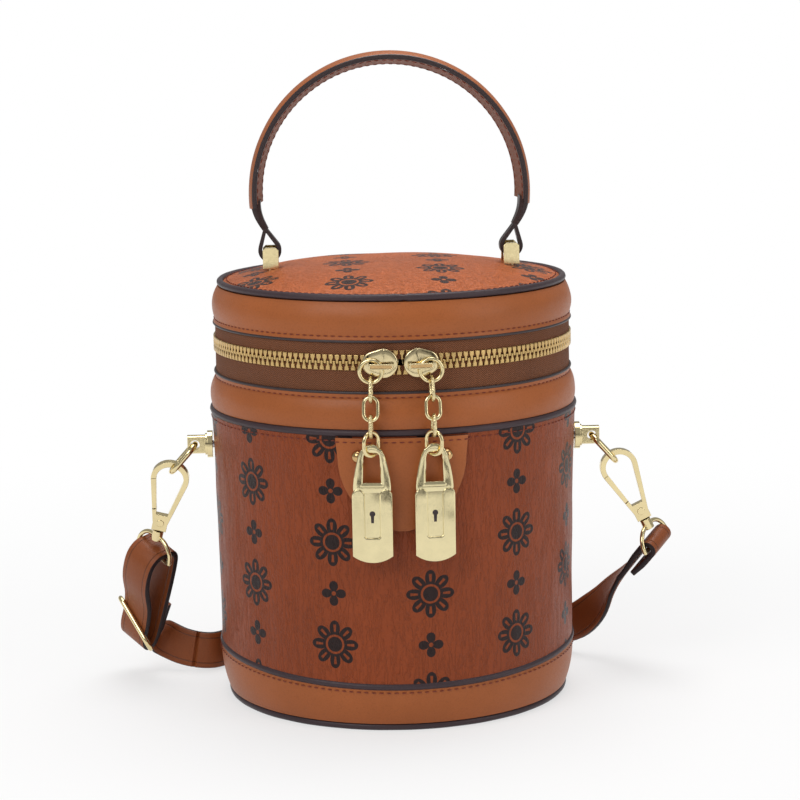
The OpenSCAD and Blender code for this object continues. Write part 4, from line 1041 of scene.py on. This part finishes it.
hinge_strip()


# ---------------------------------------------------------------- patch, rivets, lugs

def patch_edge(normal, centre):
    out = Vector((centre.x, centre.y, 0)).normalized()
    return abs(normal.dot(out)) < 0.6


finished_copy("front_patch", "front_patch_leather", smooth_leather, "smooth_leather", "bag", 0.3, 2, paint=patch_edge)
finished_copy("lug_screws", "lug_screw_pair", steel, "steel", "bag")
for side in ("left", "right"):
    finished_copy("lug_" + side, "lug_post_" + side, gold, "gold_metal", "bag")
    finished_copy("staple_" + side, "staple_bridge_" + side, gold, "gold_metal", "lid")


# ---------------------------------------------------------------- handle

def arch_sweep(name, outline, dark, first, last, material, slot_edges, steps=150):
    """Sweeps an outline of (y, rise) round the arch between two angles in degrees. Outline sides whose number is
    in dark get the edge paint."""
    points, faces, n = [], [], len(outline)
    for i in range(steps + 1):
        a = math.radians(first + (last - first) * i / steps)
        for y, v in outline:
            r = HANDLE_R + v + 0.12 * ripple(30 * math.cos(a), y, 30 * math.sin(a), 9, 5.5) * (1 if v > 1 else 0)
            points.append((r * math.cos(a), y, ARCH_Z + r * math.sin(a)))
    for i in range(steps):
        for k in range(n):
            j = (k + 1) % n
            faces.append((i * n + k, i * n + j, (i + 1) * n + j, (i + 1) * n + k))
    faces.append(tuple(reversed(range(n))))
    faces.append(tuple(range(steps * n, (steps + 1) * n)))
    piece = add_piece(name, points, faces, material, 50)
    piece.data.materials.append(slot_edges)
    for i, p in enumerate(piece.data.polygons):
        if i >= steps * n or i % n in dark:
            p.material_index = 1
    outward(piece)
    return piece


HALF = HANDLE_W / 2
crown = [(-HALF + 0.3 + (HANDLE_W - 0.6) * i / 16) for i in range(17)]
padded_top = [(y, 1.0 + 1.35 * (1 - abs(y / (HALF - 0.3)) ** 2.2)) for y in crown]
outer_outline = [(-HALF, -0.6), (-HALF, 0.75)] + padded_top + [(HALF, 0.75), (HALF, -0.6)]
handle_outer = arch_sweep("handle_outer", outer_outline, {0, 1, 18, 19, 20}, -5.2, 185.2, smooth_leather, edge_paint_and_keyhole_shade)
settle(handle_outer, "handle", "smooth_leather", "handle_strap", "handle_core")


def inner_rise(y):
    """The backing's face turns a little to the front, so its back edge hangs lower."""
    return -2.2 - 1.2 * y / HALF


inner_outline = [(HALF, -0.65), (HALF, inner_rise(HALF) + 0.3)]
inner_outline += [(y, inner_rise(y)) for y in (HALF - 0.3, HALF - 1.4, 0, 1.4 - HALF, 0.3 - HALF)]
inner_outline += [(-HALF, inner_rise(-HALF) + 0.1), (-HALF, -0.65)]
handle_inner = arch_sweep("handle_inner", inner_outline, {0, 1, 6, 7, 8}, -3.4, 183.4, backing_leather, edge_paint_and_keyhole_shade)
settle(handle_inner, "handle", "smooth_leather", "handle_backing")
finished_copy("handle_tabs", "handle_tab_pair", edge_paint_and_keyhole_shade, "smooth_leather", "handle")


def handle_neck(name, way):
    """The end of the handle drawn in to its tab: thick at the handle, narrow where the loop closes."""
    start, end = Vector((way * 54.6, 0, ARCH_Z - 2.5)), Vector((way * 50.9, 0, BAR_Z + 10.2))
    points, faces, rings, n = [], [], 14, 16
    for i in range(rings + 1):
        t = i / rings
        bow = Vector((way * 0.9 * math.sin(math.pi * t), 0, 0))
        centre = start.lerp(end, t) + bow
        thick, wide = 2.3 - 0.95 * t ** 0.8, 5.9 - 2.7 * t
        ahead = (end - start).normalized()
        out = Vector((ahead.z, 0, -ahead.x))
        for k in range(n):
            a = 2 * math.pi * k / n
            c, sn = math.cos(a), math.sin(a)
            flat = max(abs(c), abs(sn)) ** 0.75
            points.append(tuple(centre + out * thick * c / flat + Vector((0, wide * sn / flat, 0))))
    for i in range(rings):
        for k in range(n):
            j = (k + 1) % n
            faces.append((i * n + k, i * n + j, (i + 1) * n + j, (i + 1) * n + k))
    faces.append(tuple(range(n)))
    faces.append(tuple(range(rings * n, (rings + 1) * n)))
    piece = add_piece(name, points, faces, edge_paint_and_keyhole_shade, 50)
    outward(piece)
    settle(piece, "handle", "smooth_leather")


handle_neck("handle_neck_left", -1)
handle_neck("handle_neck_right", 1)


def handle_stitches():
    angles = np.linspace(math.radians(-1), math.radians(181), 90)
    for label, y in (("front", -5.9), ("back", 5.9)):
        inner_r = HANDLE_R + inner_rise(y) - 0.05
        points = [(inner_r * math.cos(a), y, ARCH_Z + inner_r * math.sin(a)) for a in angles]
        outward = [(-math.cos(a), 0, -math.sin(a)) for a in angles]
        stitch_row("handle_stitches_" + label, points, outward, "handle", pitch=3.1, length=2.1)


handle_stitches()


# ---------------------------------------------------------------- pulls and strap hardware

def arc_points(centre, r, start, end, n):
    return [(centre[0] + r * math.cos(math.radians(start + (end - start) * i / n)),
             centre[1] + r * math.sin(math.radians(start + (end - start) * i / n))) for i in range(n + 1)]


def inward_ways(outline):
    """The mitred way in from each corner of a closed outline that runs anticlockwise."""
    flat, n, ways = [Vector(p) for p in outline], len(outline), []
    for i in range(n):
        a, b, c = flat[i - 1], flat[i], flat[(i + 1) % n]
        u, v = Vector((a.y - b.y, b.x - a.x)).normalized(), Vector((b.y - c.y, c.x - b.x)).normalized()
        m = u + v
        ways.append(m / max(m.dot(u), 0.4) if m.length > 1e-6 else u)
    return flat, ways


def cast_slab(outline, layers, place):
    """Points and faces of a slab whose outline steps in by each layer's (depth, cut)."""
    flat, ways = inward_ways(outline)
    n = len(flat)
    points = [place(p + d * cut, depth) for depth, cut in layers for p, d in zip(flat, ways)]
    faces = []
    for k in range(len(layers) - 1):
        for i in range(n):
            j = (i + 1) % n
            faces.append((k * n + i, k * n + j, (k + 1) * n + j, (k + 1) * n + i))
    faces.append(tuple(range(n)))
    faces.append(tuple(range((len(layers) - 1) * n, len(layers) * n)))
    return points, faces


def cast_ring(outer, inner, thick, place):
    """Points and faces of a flat ring with rounded edges between two outlines of as many points."""
    points, faces, n = [], [], len(outer)
    section = [(0.0, 0.35), (0.12, 0.85), (0.32, 1), (0.68, 1), (0.88, 0.85), (1.0, 0.35),
               (1.0, -0.35), (0.88, -0.85), (0.68, -1), (0.32, -1), (0.12, -0.85), (0.0, -0.35)]
    for o, i in zip(outer, inner):
        for t, y in section:
            points.append(place(Vector(o).lerp(Vector(i), t), -thick / 2 * y))
    m = len(section)
    for a in range(n):
        b = (a + 1) % n
        for k in range(m):
            j = (k + 1) % m
            faces.append((a * m + k, a * m + j, b * m + j, b * m + k))
    return points, faces


def even_run(line, count):
    """Points at even steps along an open line, without its last point."""
    line = [Vector(p) for p in line]
    lengths = [0.0]
    for a, b in zip(line, line[1:]):
        lengths.append(lengths[-1] + (b - a).length)
    out, at = [], 0
    for i in range(count):
        want = lengths[-1] * i / count
        while lengths[at + 1] < want:
            at += 1
        out.append(tuple(line[at].lerp(line[at + 1], (want - lengths[at]) / (lengths[at + 1] - lengths[at]))))
    return out


def even_loop(side, top):
    """A closed outline of even steps from its right side, going up, and its top from right to left;
    the left side mirrors the right one and the foot closes it."""
    mirrored = [(-x, y) for x, y in side[::-1]]
    foot = [mirrored[-1], side[0]]
    top = [side[-1]] + top + [mirrored[0]]
    return even_run(side, 20) + even_run(top, 20) + even_run(mirrored, 20) + even_run(foot, 12)


def padlock_pull(side):
    """A cast padlock: its plate, the shackle with its window, and a raised front of two shoulders
    with a sunk strip and a keyhole between them."""
    way = -1 if side == "left" else 1
    turn = Matrix.Rotation(math.radians(way * SLIDER_ANGLE), 3, "Z")
    shown = [turn.transposed() @ (v.co / MM) for v in frame["nodes"]["padlock_" + side].data.vertices]
    front, back = min(v.y for v in shown), max(v.y for v in shown)
    middle, half = (min(v.x for v in shown) + max(v.x for v in shown)) / 2, LOCK_W / 2
    foot, centre_y = min(v.z for v in shown), (front + back) / 2
    thick = back - front

    def place(p, depth):
        return tuple(turn @ Vector((middle + p.x, centre_y + depth, foot + p.y)))

    drop = half * 2 * 0.17
    arc_r = (half ** 2 + drop ** 2) / (2 * drop)
    arc_a = math.degrees(math.asin(half / arc_r))
    shoulder = (half - STRIP_HALF) / 2
    foot_arc = arc_points((0, arc_r), arc_r, -90 - arc_a, -90 + arc_a, 20)
    right = arc_points((half - shoulder, LOCK_PLATE - shoulder), shoulder, 0, 180, 12)
    left = arc_points((shoulder - half, LOCK_PLATE - shoulder), shoulder, 0, 180, 12)
    plate = foot_arc + right[:7] + left[6:]
    low, corner = LOCK_PLATE - STRIP_L, 0.6
    strip_end = [(STRIP_HALF, low + corner), (STRIP_HALF - corner, low),
                 (corner - STRIP_HALF, low), (-STRIP_HALF, low + corner)]
    raised = foot_arc + right + strip_end + left
    eye = LOCK_PLATE - KEYHOLE_DROP
    keyhole = arc_points((0, eye), KEYHOLE_R, -55, 235, 14) + [(-0.55, eye - KEYHOLE_L), (0.55, eye - KEYHOLE_L)]
    t = thick / 2
    parts = [cast_slab(plate, [(t - 0.1, 0.5), (t - 0.35, 0.12), (t - 0.6, 0.02), (-t + 0.5, 0.02)], place),
             cast_slab(raised, [(-t + 0.55, 0.02), (-t + 0.2, 0.02), (-t + 0.02, 0.16), (-t - 0.08, 0.5)], place)]
    top = max(v.z for v in shown) - foot
    window = top - SHACKLE_WIRE + 0.2
    outer = even_loop([(7.15, LOCK_PLATE - 1.4), (7.3, LOCK_PLATE + 0.8), (6.95, LOCK_PLATE + 4.2),
                       (6.2, LOCK_PLATE + 8.6), (5.2, top - 4.6), (4.1, top - 2.2)],
                      arc_points((0, top - 3.6), 3.6, 40, 140, 10))
    inner = even_loop([(3.5, LOCK_PLATE + 2.5), (3.15, window - 3), (2.85, window - 0.9)],
                      [(2.35, window - 0.1), (1.2, window), (-1.2, window), (-2.35, window - 0.1)])
    parts.append(cast_ring(outer, inner, SHACKLE_T, place))
    points, faces = [], []
    for more_points, more_faces in parts:
        base = len(points)
        points += more_points
        faces += [tuple(base + i for i in f) for f in more_faces]
    piece = add_piece("padlock_charm_" + side, points, faces, cast_gold, 40)
    fix = bmesh.new()
    fix.from_mesh(piece.data)
    bmesh.ops.triangulate(fix, faces=[f for f in fix.faces if len(f.verts) > 4])
    bmesh.ops.recalc_face_normals(fix, faces=fix.faces)
    fix.to_mesh(piece.data)
    fix.free()
    smooth(piece, 12)
    settle(piece, "padlock_" + side, "gold_metal", "padlock_" + side)
    # painted shade: the keyhole is a thin dark sheet in the edge paint, standing for the shade in a hole
    sunk = cast_slab(keyhole, [(-t + 0.5, 0.02), (-t + 0.44, 0.05)], place)
    hole = add_piece("padlock_keyhole_" + side, *sunk, edge_paint_and_keyhole_shade, 40)
    outward(hole)
    settle(hole, "padlock_" + side, "gold_metal")


# depth behind the plate's or the bridge's front, and how far the outline steps in
PLATE_LAYERS = [(0.4, 0.05), (0.36, -0.06), (0.05, -0.06), (-0.14, 0.06), (-0.26, 0.4), (-0.36, 1.1), (-0.43, 2.0)]
BRIDGE_LAYERS = [(1.0, 0.3), (0.9, 0.0), (0.05, 0.0), (-0.03, 0.05)]


def slider_front(side):
    """A slider's domed front plate, and the rounded frame on its bridge with a sunk middle in darker gold, which is
    painted shade.
    """
    way = -1 if side == "left" else 1
    turn = Matrix.Rotation(math.radians(way * SLIDER_ANGLE), 3, "Z")
    shown = [turn.transposed() @ (v.co / MM) for v in frame["nodes"]["slider_" + side].data.vertices]
    levels = [round(v.y, 2) for v in shown]
    plate = min(y for y in set(levels) if levels.count(y) > 24)
    flat = [Vector((v.x, v.z)) for v in shown if abs(v.y - plate) < 0.02]
    outline = [tuple(flat[i]) for i in convex_hull_2d(flat)]
    area = sum(a[0] * b[1] - a[1] * b[0] for a, b in zip(outline, outline[1:] + outline[:1]))
    if area < 0:
        outline.reverse()
    dome = add_piece("slider_plate_" + side, *cast_slab(outline, PLATE_LAYERS,
                     lambda p, depth: tuple(turn @ Vector((p.x, plate + depth, p.y)))), pull_gold, 40)
    settle(outward(dome), "slider_" + side, "gold_metal")
    front = min(v.y for v in shown)
    face = [v for v in shown if v.y < front + 0.05]
    x, z = [(min(v[k] for v in face) + max(v[k] for v in face)) / 2 for k in (0, 2)]

    def rounded(half_l, half_h, r):
        return [p for cx, cy, a in ((1, -1, -90), (1, 1, 0), (-1, 1, 90), (-1, -1, 180))
                for p in arc_points((cx * (half_l - r), cy * (half_h - r)), r, a, a + 90, 5)]

    def place(p, depth):
        return tuple(turn @ Vector((x + p.x, front + depth, z + p.y)))

    # painted shade: the bridge's sunk middle takes the darker rivet gold to stand for the shade inside its frame
    floor = add_piece("slider_bridge_" + side, *cast_slab(rounded(4.6, 1.0, 0.5), BRIDGE_LAYERS, place),
                      rivet_gold_and_painted_shade, 40)
    settle(outward(floor), "slider_" + side, "gold_metal")
    rim = add_piece("bridge_rim_" + side, *cast_ring(rounded(4.8, 1.1, 0.7), rounded(4.1, 0.55, 0.35), 0.7,
                    lambda p, depth: place(p, depth + 0.1)), pull_gold, 40)
    settle(outward(rim), "slider_" + side, "gold_metal")


def rivet_domes():
    """The two ball heads on the patch, turned about their pins."""
    shown = [v.co / MM for v in frame["nodes"]["patch_rivets"].data.vertices]
    tip = max(math.hypot(v.x, v.y) for v in shown)
    height = (min(v.z for v in shown) + max(v.z for v in shown)) / 2
    radius, sections = RIVET_R, 32
    profile = [(radius * math.sin(t), tip - radius + radius * math.cos(t))
               for t in np.linspace(0.06, math.radians(115), 16)] + [(2.1, tip - 4.6)]
    points, faces, n = [], [], len(profile)
    for way in (-1, 1):
        a = FRONT + way * math.asin(RIVET_GAP / 2 / WALL_R)
        out, along = Vector((math.cos(a), math.sin(a), 0)), Vector((-math.sin(a), math.cos(a), 0))
        base = len(points)
        for k in range(sections):
            t = 2 * math.pi * k / sections
            across = along * math.cos(t) + Vector((0, 0, math.sin(t)))
            points += [tuple(out * far + across * r + Vector((0, 0, height))) for r, far in profile]
        for k in range(sections):
            j = (k + 1) % sections
            faces += [(base + k * n + i, base + k * n + i + 1, base + j * n + i + 1, base + j * n + i)
                      for i in range(n - 1)]
        faces.append(tuple(base + k * n for k in range(sections)))
        faces.append(tuple(base + k * n + n - 1 for k in range(sections)))
    piece = add_piece("patch_rivet_heads", points, faces, rivet_gold_and_painted_shade, 40)
    outward(piece)
    settle(piece, "bag", "gold_metal", "patch_rivets")


rivet_domes()
for side in ("left", "right"):
    slider_front(side)
    finished_copy("slider_" + side, "zip_slider_" + side, pull_gold, "gold_metal", "slider_" + side)
    finished_copy("pull_ring_" + side, "round_ring_" + side, gold, "gold_metal", "pull_ring_" + side)
    for k in (1, 2, 3, 4):
        finish = chain_gold if k in (1, 3) else gold
        finished_copy(f"link_{k}_{side}", f"chain_link_{k}_{side}", finish, "gold_metal", f"link_{k}_{side}")
    padlock_pull(side)
    finished_copy("ring_" + side, "oval_ring_" + side, gold, "gold_metal", "ring_" + side)
    finished_copy("hook_" + side, "snap_hook_" + side, gold, "gold_metal", "hook_" + side)
    finished_copy("gate_" + side, "hook_gate_" + side, gold, "gold_metal", "gate_" + side)
    finished_copy("eye_" + side, "swivel_eye_" + side, gold, "gold_metal", "eye_" + side)
finished_copy("slide_adjuster", "strap_adjuster", gold, "gold_metal", "strap_end_left")


# ---------------------------------------------------------------- strap

def bar_axis(side):
    """Direction along the bar that carries a strap end, from its joint."""
    found = [j for j in frame["joints"] if j["name"] == "strap_fold_" + side][0]
    return Vector(found["axis"]).normalized(), Vector(found["pos_m"])


for side in ("left", "right"):
    axis, middle = bar_axis(side)
    finished_copy("strap_end_" + side, "strap_loop_" + side, strap_leather, "strap_leather", "strap_end_" + side,
                  0.4, 3, across=lambda co, axis=axis, middle=middle: (co - middle).dot(axis) / (STRAP_W / 2 * MM))

STRAP_ROUTE = [
    (-98, 32.5, 13, -30), (-91.5, 30, 10.4, -15), (-84.5, 28.2, 9, -5),
    (-78, 28.6, 8.5, 0), (-72.5, 33.5, 8.5, 0), (-66.5, 43, 8.5, 0), (-57, 55, 8.5, 0),
    (-43, 66, 8.5, 0), (-27, 74, 8.5, 0), (-10, 78.5, 8.5, 0), (10, 79, 8.5, 0),
    (26, 78.5, 8.5, 0), (36, 81, 8.5, 0), (39, 86, 8.5, 0), (35, 90.5, 8.5, 0),
    (25, 92, 8.5, 0), (0, 92, 8.5, 0), (-25, 92, 8.5, 0), (-36, 94, 8.5, 0),
    (-40, 99, 8.5, 0), (-36, 104, 8.5, 0), (-25, 106, 8.5, 0), (0, 106, 8.5, 0),
    (25, 106, 8.5, 0), (36, 108, 8.5, 0), (40, 113, 8.5, 0), (36, 118, 8.5, 0),
    (25, 120, 8.5, 0), (0, 120, 8.5, 0), (-25, 120, 8.5, 0), (-36, 122, 8.5, 0),
    (-40, 127, 8.5, 0), (-36, 132, 8.5, 0), (-25, 134, 8.5, 0), (0, 134, 8.5, 0),
    (25, 133, 8.5, 0), (40, 127, 8.5, 0), (49, 115, 8.5, 0), (53, 100, 8.5, 0),
    (56, 84, 8.5, 0), (60, 68, 8.6, 0), (65, 56, 9, 4), (72, 46, 10.5, 12),
    (80, 38, 14.5, 24), (87.3, 32, 22, 36), (92.5, 27.6, 30, 46)]
RIGHT_LEAD = [(95.9, 23.1, 35.8, 50), (99.0, 18.5, 41.3, 54)]
LEFT_LEAD = [(-100.6, 26.3, 34.0, -30), (-103.0, 29.0, 26.5, -30), (-104.2, 31.0, 20.0, -30), (-102.2, 32.6, 15.6, -30)]


def strap_sections(rows):
    """Places and cross directions of the strap along rows of x, y, z and lean in degrees."""
    places = [r[:3] for r in rows]
    last = len(rows) - 1
    out = []
    for i, row in enumerate(rows):
        f = places[min(i + 1, last)] - places[max(i - 1, 0)]
        f /= np.linalg.norm(f)
        side = np.cross(f, [0, 0, 1])
        side /= np.linalg.norm(side)
        up = np.cross(side, f)
        lean = math.radians(row[3])
        wide = up * math.cos(lean) + side * math.sin(lean)
        out.append((places[i], wide, np.cross(f, wide)))
    return out


def strap_mesh(name, sections):
    """A leather strap with rounded edges swept along its sections, closed at both ends."""
    half_w, half_t = STRAP_W / 2, STRAP_T / 2
    corner = 0.55
    outline = [(-half_w, -half_t + corner), (-half_w + corner, -half_t)]
    outline += [(half_w * s, -half_t) for s in (-0.78, -0.7, -0.62, 0, 0.62, 0.7, 0.78)]
    outline += [(half_w - corner, -half_t), (half_w, -half_t + corner)]
    outline += [(-x, -t) for x, t in outline]
    points, faces, share, n = [], [], [], len(outline)
    for place, wide, thin in sections:
        for x, t in outline:
            points.append(place + wide * x + thin * t)
            share.append(x / half_w)
    for i in range(len(sections) - 1):
        for k in range(n):
            j = (k + 1) % n
            faces.append((i * n + k, (i + 1) * n + k, (i + 1) * n + j, i * n + j))
    faces.append(tuple(range(n)))
    faces.append(tuple(reversed(range((len(sections) - 1) * n, len(sections) * n))))
    piece = add_piece(name, points, faces, strap_leather, 50)
    outward(piece)
    if len(piece.data.vertices) == len(share):
        piece.data.attributes.new("across", "FLOAT", "POINT").data.foreach_set("value", share)
    return piece


STEPS = 4
LEFT_CUT, RIGHT_CUT = 5, len(STRAP_ROUTE) - 7
whole = strap_sections(curve_through(LEFT_LEAD + STRAP_ROUTE + RIGHT_LEAD, STEPS))


def eased(sections, fixed, wide_end):
    """Turns the strap's width, past the fixed section, until it lies along wide_end."""
    start, target = sections[fixed][1], np.array(wide_end, float)
    if start.dot(target) < 0:
        target = -target
    out, count = list(sections), len(sections) - 1 - fixed
    for i in range(1, count + 1):
        t = i / count
        wide = start * (1 - t) + target * t
        place = sections[fixed + i][0]
        last = sections[min(fixed + i + 1, len(sections) - 1)][0]
        ahead = last - sections[fixed + i - 1][0]
        ahead /= np.linalg.norm(ahead)
        wide -= ahead * wide.dot(ahead)
        wide /= np.linalg.norm(wide)
        out[fixed + i] = (place, wide, np.cross(ahead, wide))
    return out


first = (len(LEFT_LEAD) + LEFT_CUT) * STEPS
last = (len(LEFT_LEAD) + RIGHT_CUT) * STEPS
run = whole[first:last + 1]
right_part = eased(whole[last:], 3 * STEPS, bar_axis("right")[0])
left_part = eased(whole[:first + 1][::-1], 3 * STEPS, bar_axis("left")[0])
strap_run = strap_mesh("strap_run", run)
settle(strap_run, "bag", "strap_leather", "strap_back")


def lead(side, part):
    """The strap between its run behind the bag and the end on the eye, in four stretches by
    the ring, the hook, the eye and the fold, fixed where they lie."""
    stops = [0, len(part) - 1 - 9, len(part) - 1 - 6, len(part) - 1 - 3, len(part) - 1]
    for k in range(4):
        bit = part[stops[k]:stops[k + 1] + 1]
        piece = strap_mesh(f"strap_lead_{k + 1}_{side}", bit)
        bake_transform(piece)


lead("right", right_part)
lead("left", left_part)


# ---------------------------------------------------------------- room, lights and camera

def studio():
    material = bpy.data.materials.new("studio_floor")
    material.use_nodes = True
    tree = material.node_tree
    b = Bench(tree)
    tree.nodes.clear()
    path = tree.nodes.new("ShaderNodeLightPath").outputs
    mirrored = b.math("MAXIMUM", path["Is Glossy Ray"], path["Is Transmission Ray"])
    seen = b.math("MAXIMUM", path["Is Camera Ray"], mirrored)
    place = b.node("ShaderNodeTexCoord").outputs["Object"]
    cloud = b.noise(place, 3.0, 2.0)
    tone = b.mix(cloud, (0.84, 0.84, 0.84, 1), (0.88, 0.88, 0.88, 1))
    matt = b.node("ShaderNodeBsdfDiffuse", {"Color": tone}).outputs[0]
    white = b.node("ShaderNodeEmission", {"Color": (1, 1, 1, 1), "Strength": 1.0}).outputs[0]
    away = b.node("ShaderNodeVectorMath", {0: place}, operation="LENGTH").outputs["Value"]
    share = b.math("MULTIPLY", seen, b.ramp(away, 0.12, 0.55, 0.6, 1.0))
    mixed = b.node("ShaderNodeMixShader", {0: share, 1: matt, 2: white}).outputs[0]
    b.node("ShaderNodeOutputMaterial", {0: mixed})
    mesh = bpy.data.meshes.new("studio_floor")
    s = 3.0
    mesh.from_pydata([(-s, -s, 0), (s, -s, 0), (s, s, 0), (-s, s, 0)], [], [(0, 1, 2, 3)])
    floor = bpy.data.objects.new("studio_floor", mesh)
    mesh.materials.append(material)
    scene.collection.objects.link(floor)

    world = bpy.data.worlds.new("studio_world")
    scene.world = world
    world.use_nodes = True
    tree = world.node_tree
    tree.nodes.clear()
    b = Bench(tree)
    path = tree.nodes.new("ShaderNodeLightPath").outputs
    seen = b.math("MAXIMUM", path["Is Camera Ray"], path["Is Transmission Ray"])
    dim = b.node("ShaderNodeBackground", {"Color": (1, 1, 1, 1), "Strength": 0.36}).outputs[0]
    bright = b.node("ShaderNodeBackground", {"Color": (1, 1, 1, 1), "Strength": 1.0}).outputs[0]
    mixed = b.node("ShaderNodeMixShader", {0: seen, 1: dim, 2: bright}).outputs[0]
    b.node("ShaderNodeOutputWorld", {0: mixed})


def lamp(name, place, size, power):
    light = bpy.data.lights.new(name, "AREA")
    light.shape = "RECTANGLE"
    light.size, light.size_y = size
    light.energy = power
    holder = bpy.data.objects.new(name, light)
    aim = Vector((0, 0, 0.11)) - Vector(place)
    holder.location = place
    holder.rotation_euler = aim.to_track_quat("-Z", "Y").to_euler()
    scene.collection.objects.link(holder)


def card(name, place, width, height):
    """A dark card that only shows as a reflection in the metal."""
    material = plain_grained(name, (0.02, 0.016, 0.012, 1), (0.03, 0.024, 0.018, 1), 40.0, 0.9, 0.1)
    x, y = place[:2]
    side = Vector((-y, x, 0)).normalized() * width / 2
    corners = [Vector(place) - side, Vector(place) + side]
    points = [tuple(c + Vector((0, 0, h)) for c in pair) for h, pair in ((-height / 2, corners), (height / 2, corners))]
    mesh = bpy.data.meshes.new(name)
    mesh.from_pydata([points[0][0], points[0][1], points[1][1], points[1][0]], [], [(0, 1, 2, 3)])
    mesh.materials.append(material)
    made = bpy.data.objects.new(name, mesh)
    made.visible_camera = made.visible_diffuse = made.visible_shadow = False
    scene.collection.objects.link(made)


def photo_camera():
    azimuth, pitch, roll = math.radians(-2.4), math.radians(9.31), math.radians(1.0)
    away, height = 1.011, 0.286
    ahead = Vector((-math.sin(azimuth), math.cos(azimuth), 0))
    forward = ahead * math.cos(pitch) - Vector((0, 0, math.sin(pitch)))
    level = Vector((math.cos(azimuth), math.sin(azimuth), 0))
    upward = level.cross(forward)
    right = level * math.cos(roll) - upward * math.sin(roll)
    up = level * math.sin(roll) + upward * math.cos(roll)
    camera = bpy.data.cameras.new("photo_camera")
    camera.lens, camera.sensor_width = 2480 / 800 * 36, 36
    camera.shift_x = (400 - 393.2) / 800
    camera.clip_start, camera.clip_end = 0.05, 20
    holder = bpy.data.objects.new("photo_camera", camera)
    turn = Matrix((right, up, -forward)).transposed().to_4x4()
    holder.matrix_world = Matrix.Translation((math.sin(azimuth) * away, -math.cos(azimuth) * away, height)) @ turn
    scene.collection.objects.link(holder)
    scene.camera = holder


studio()
lamp("key", (-0.75, -0.95, 1.05), (0.9, 0.7), 8.2)
lamp("fill", (1.1, -0.7, 0.6), (0.6, 0.9), 3.5)
lamp("top", (0.1, 0.25, 1.3), (0.9, 0.9), 10.5)
card("card_left", (-0.36, -0.95, 0.1), 0.16, 0.7)
card("card_right", (0.42, -0.9, 0.1), 0.2, 0.7)
card("card_middle", (0.02, -1.2, 0.42), 0.5, 0.12)
card("card_low", (0.03, -0.42, 0.036), 0.3, 0.018)
photo_camera()
scene.view_settings.view_transform = "Standard"
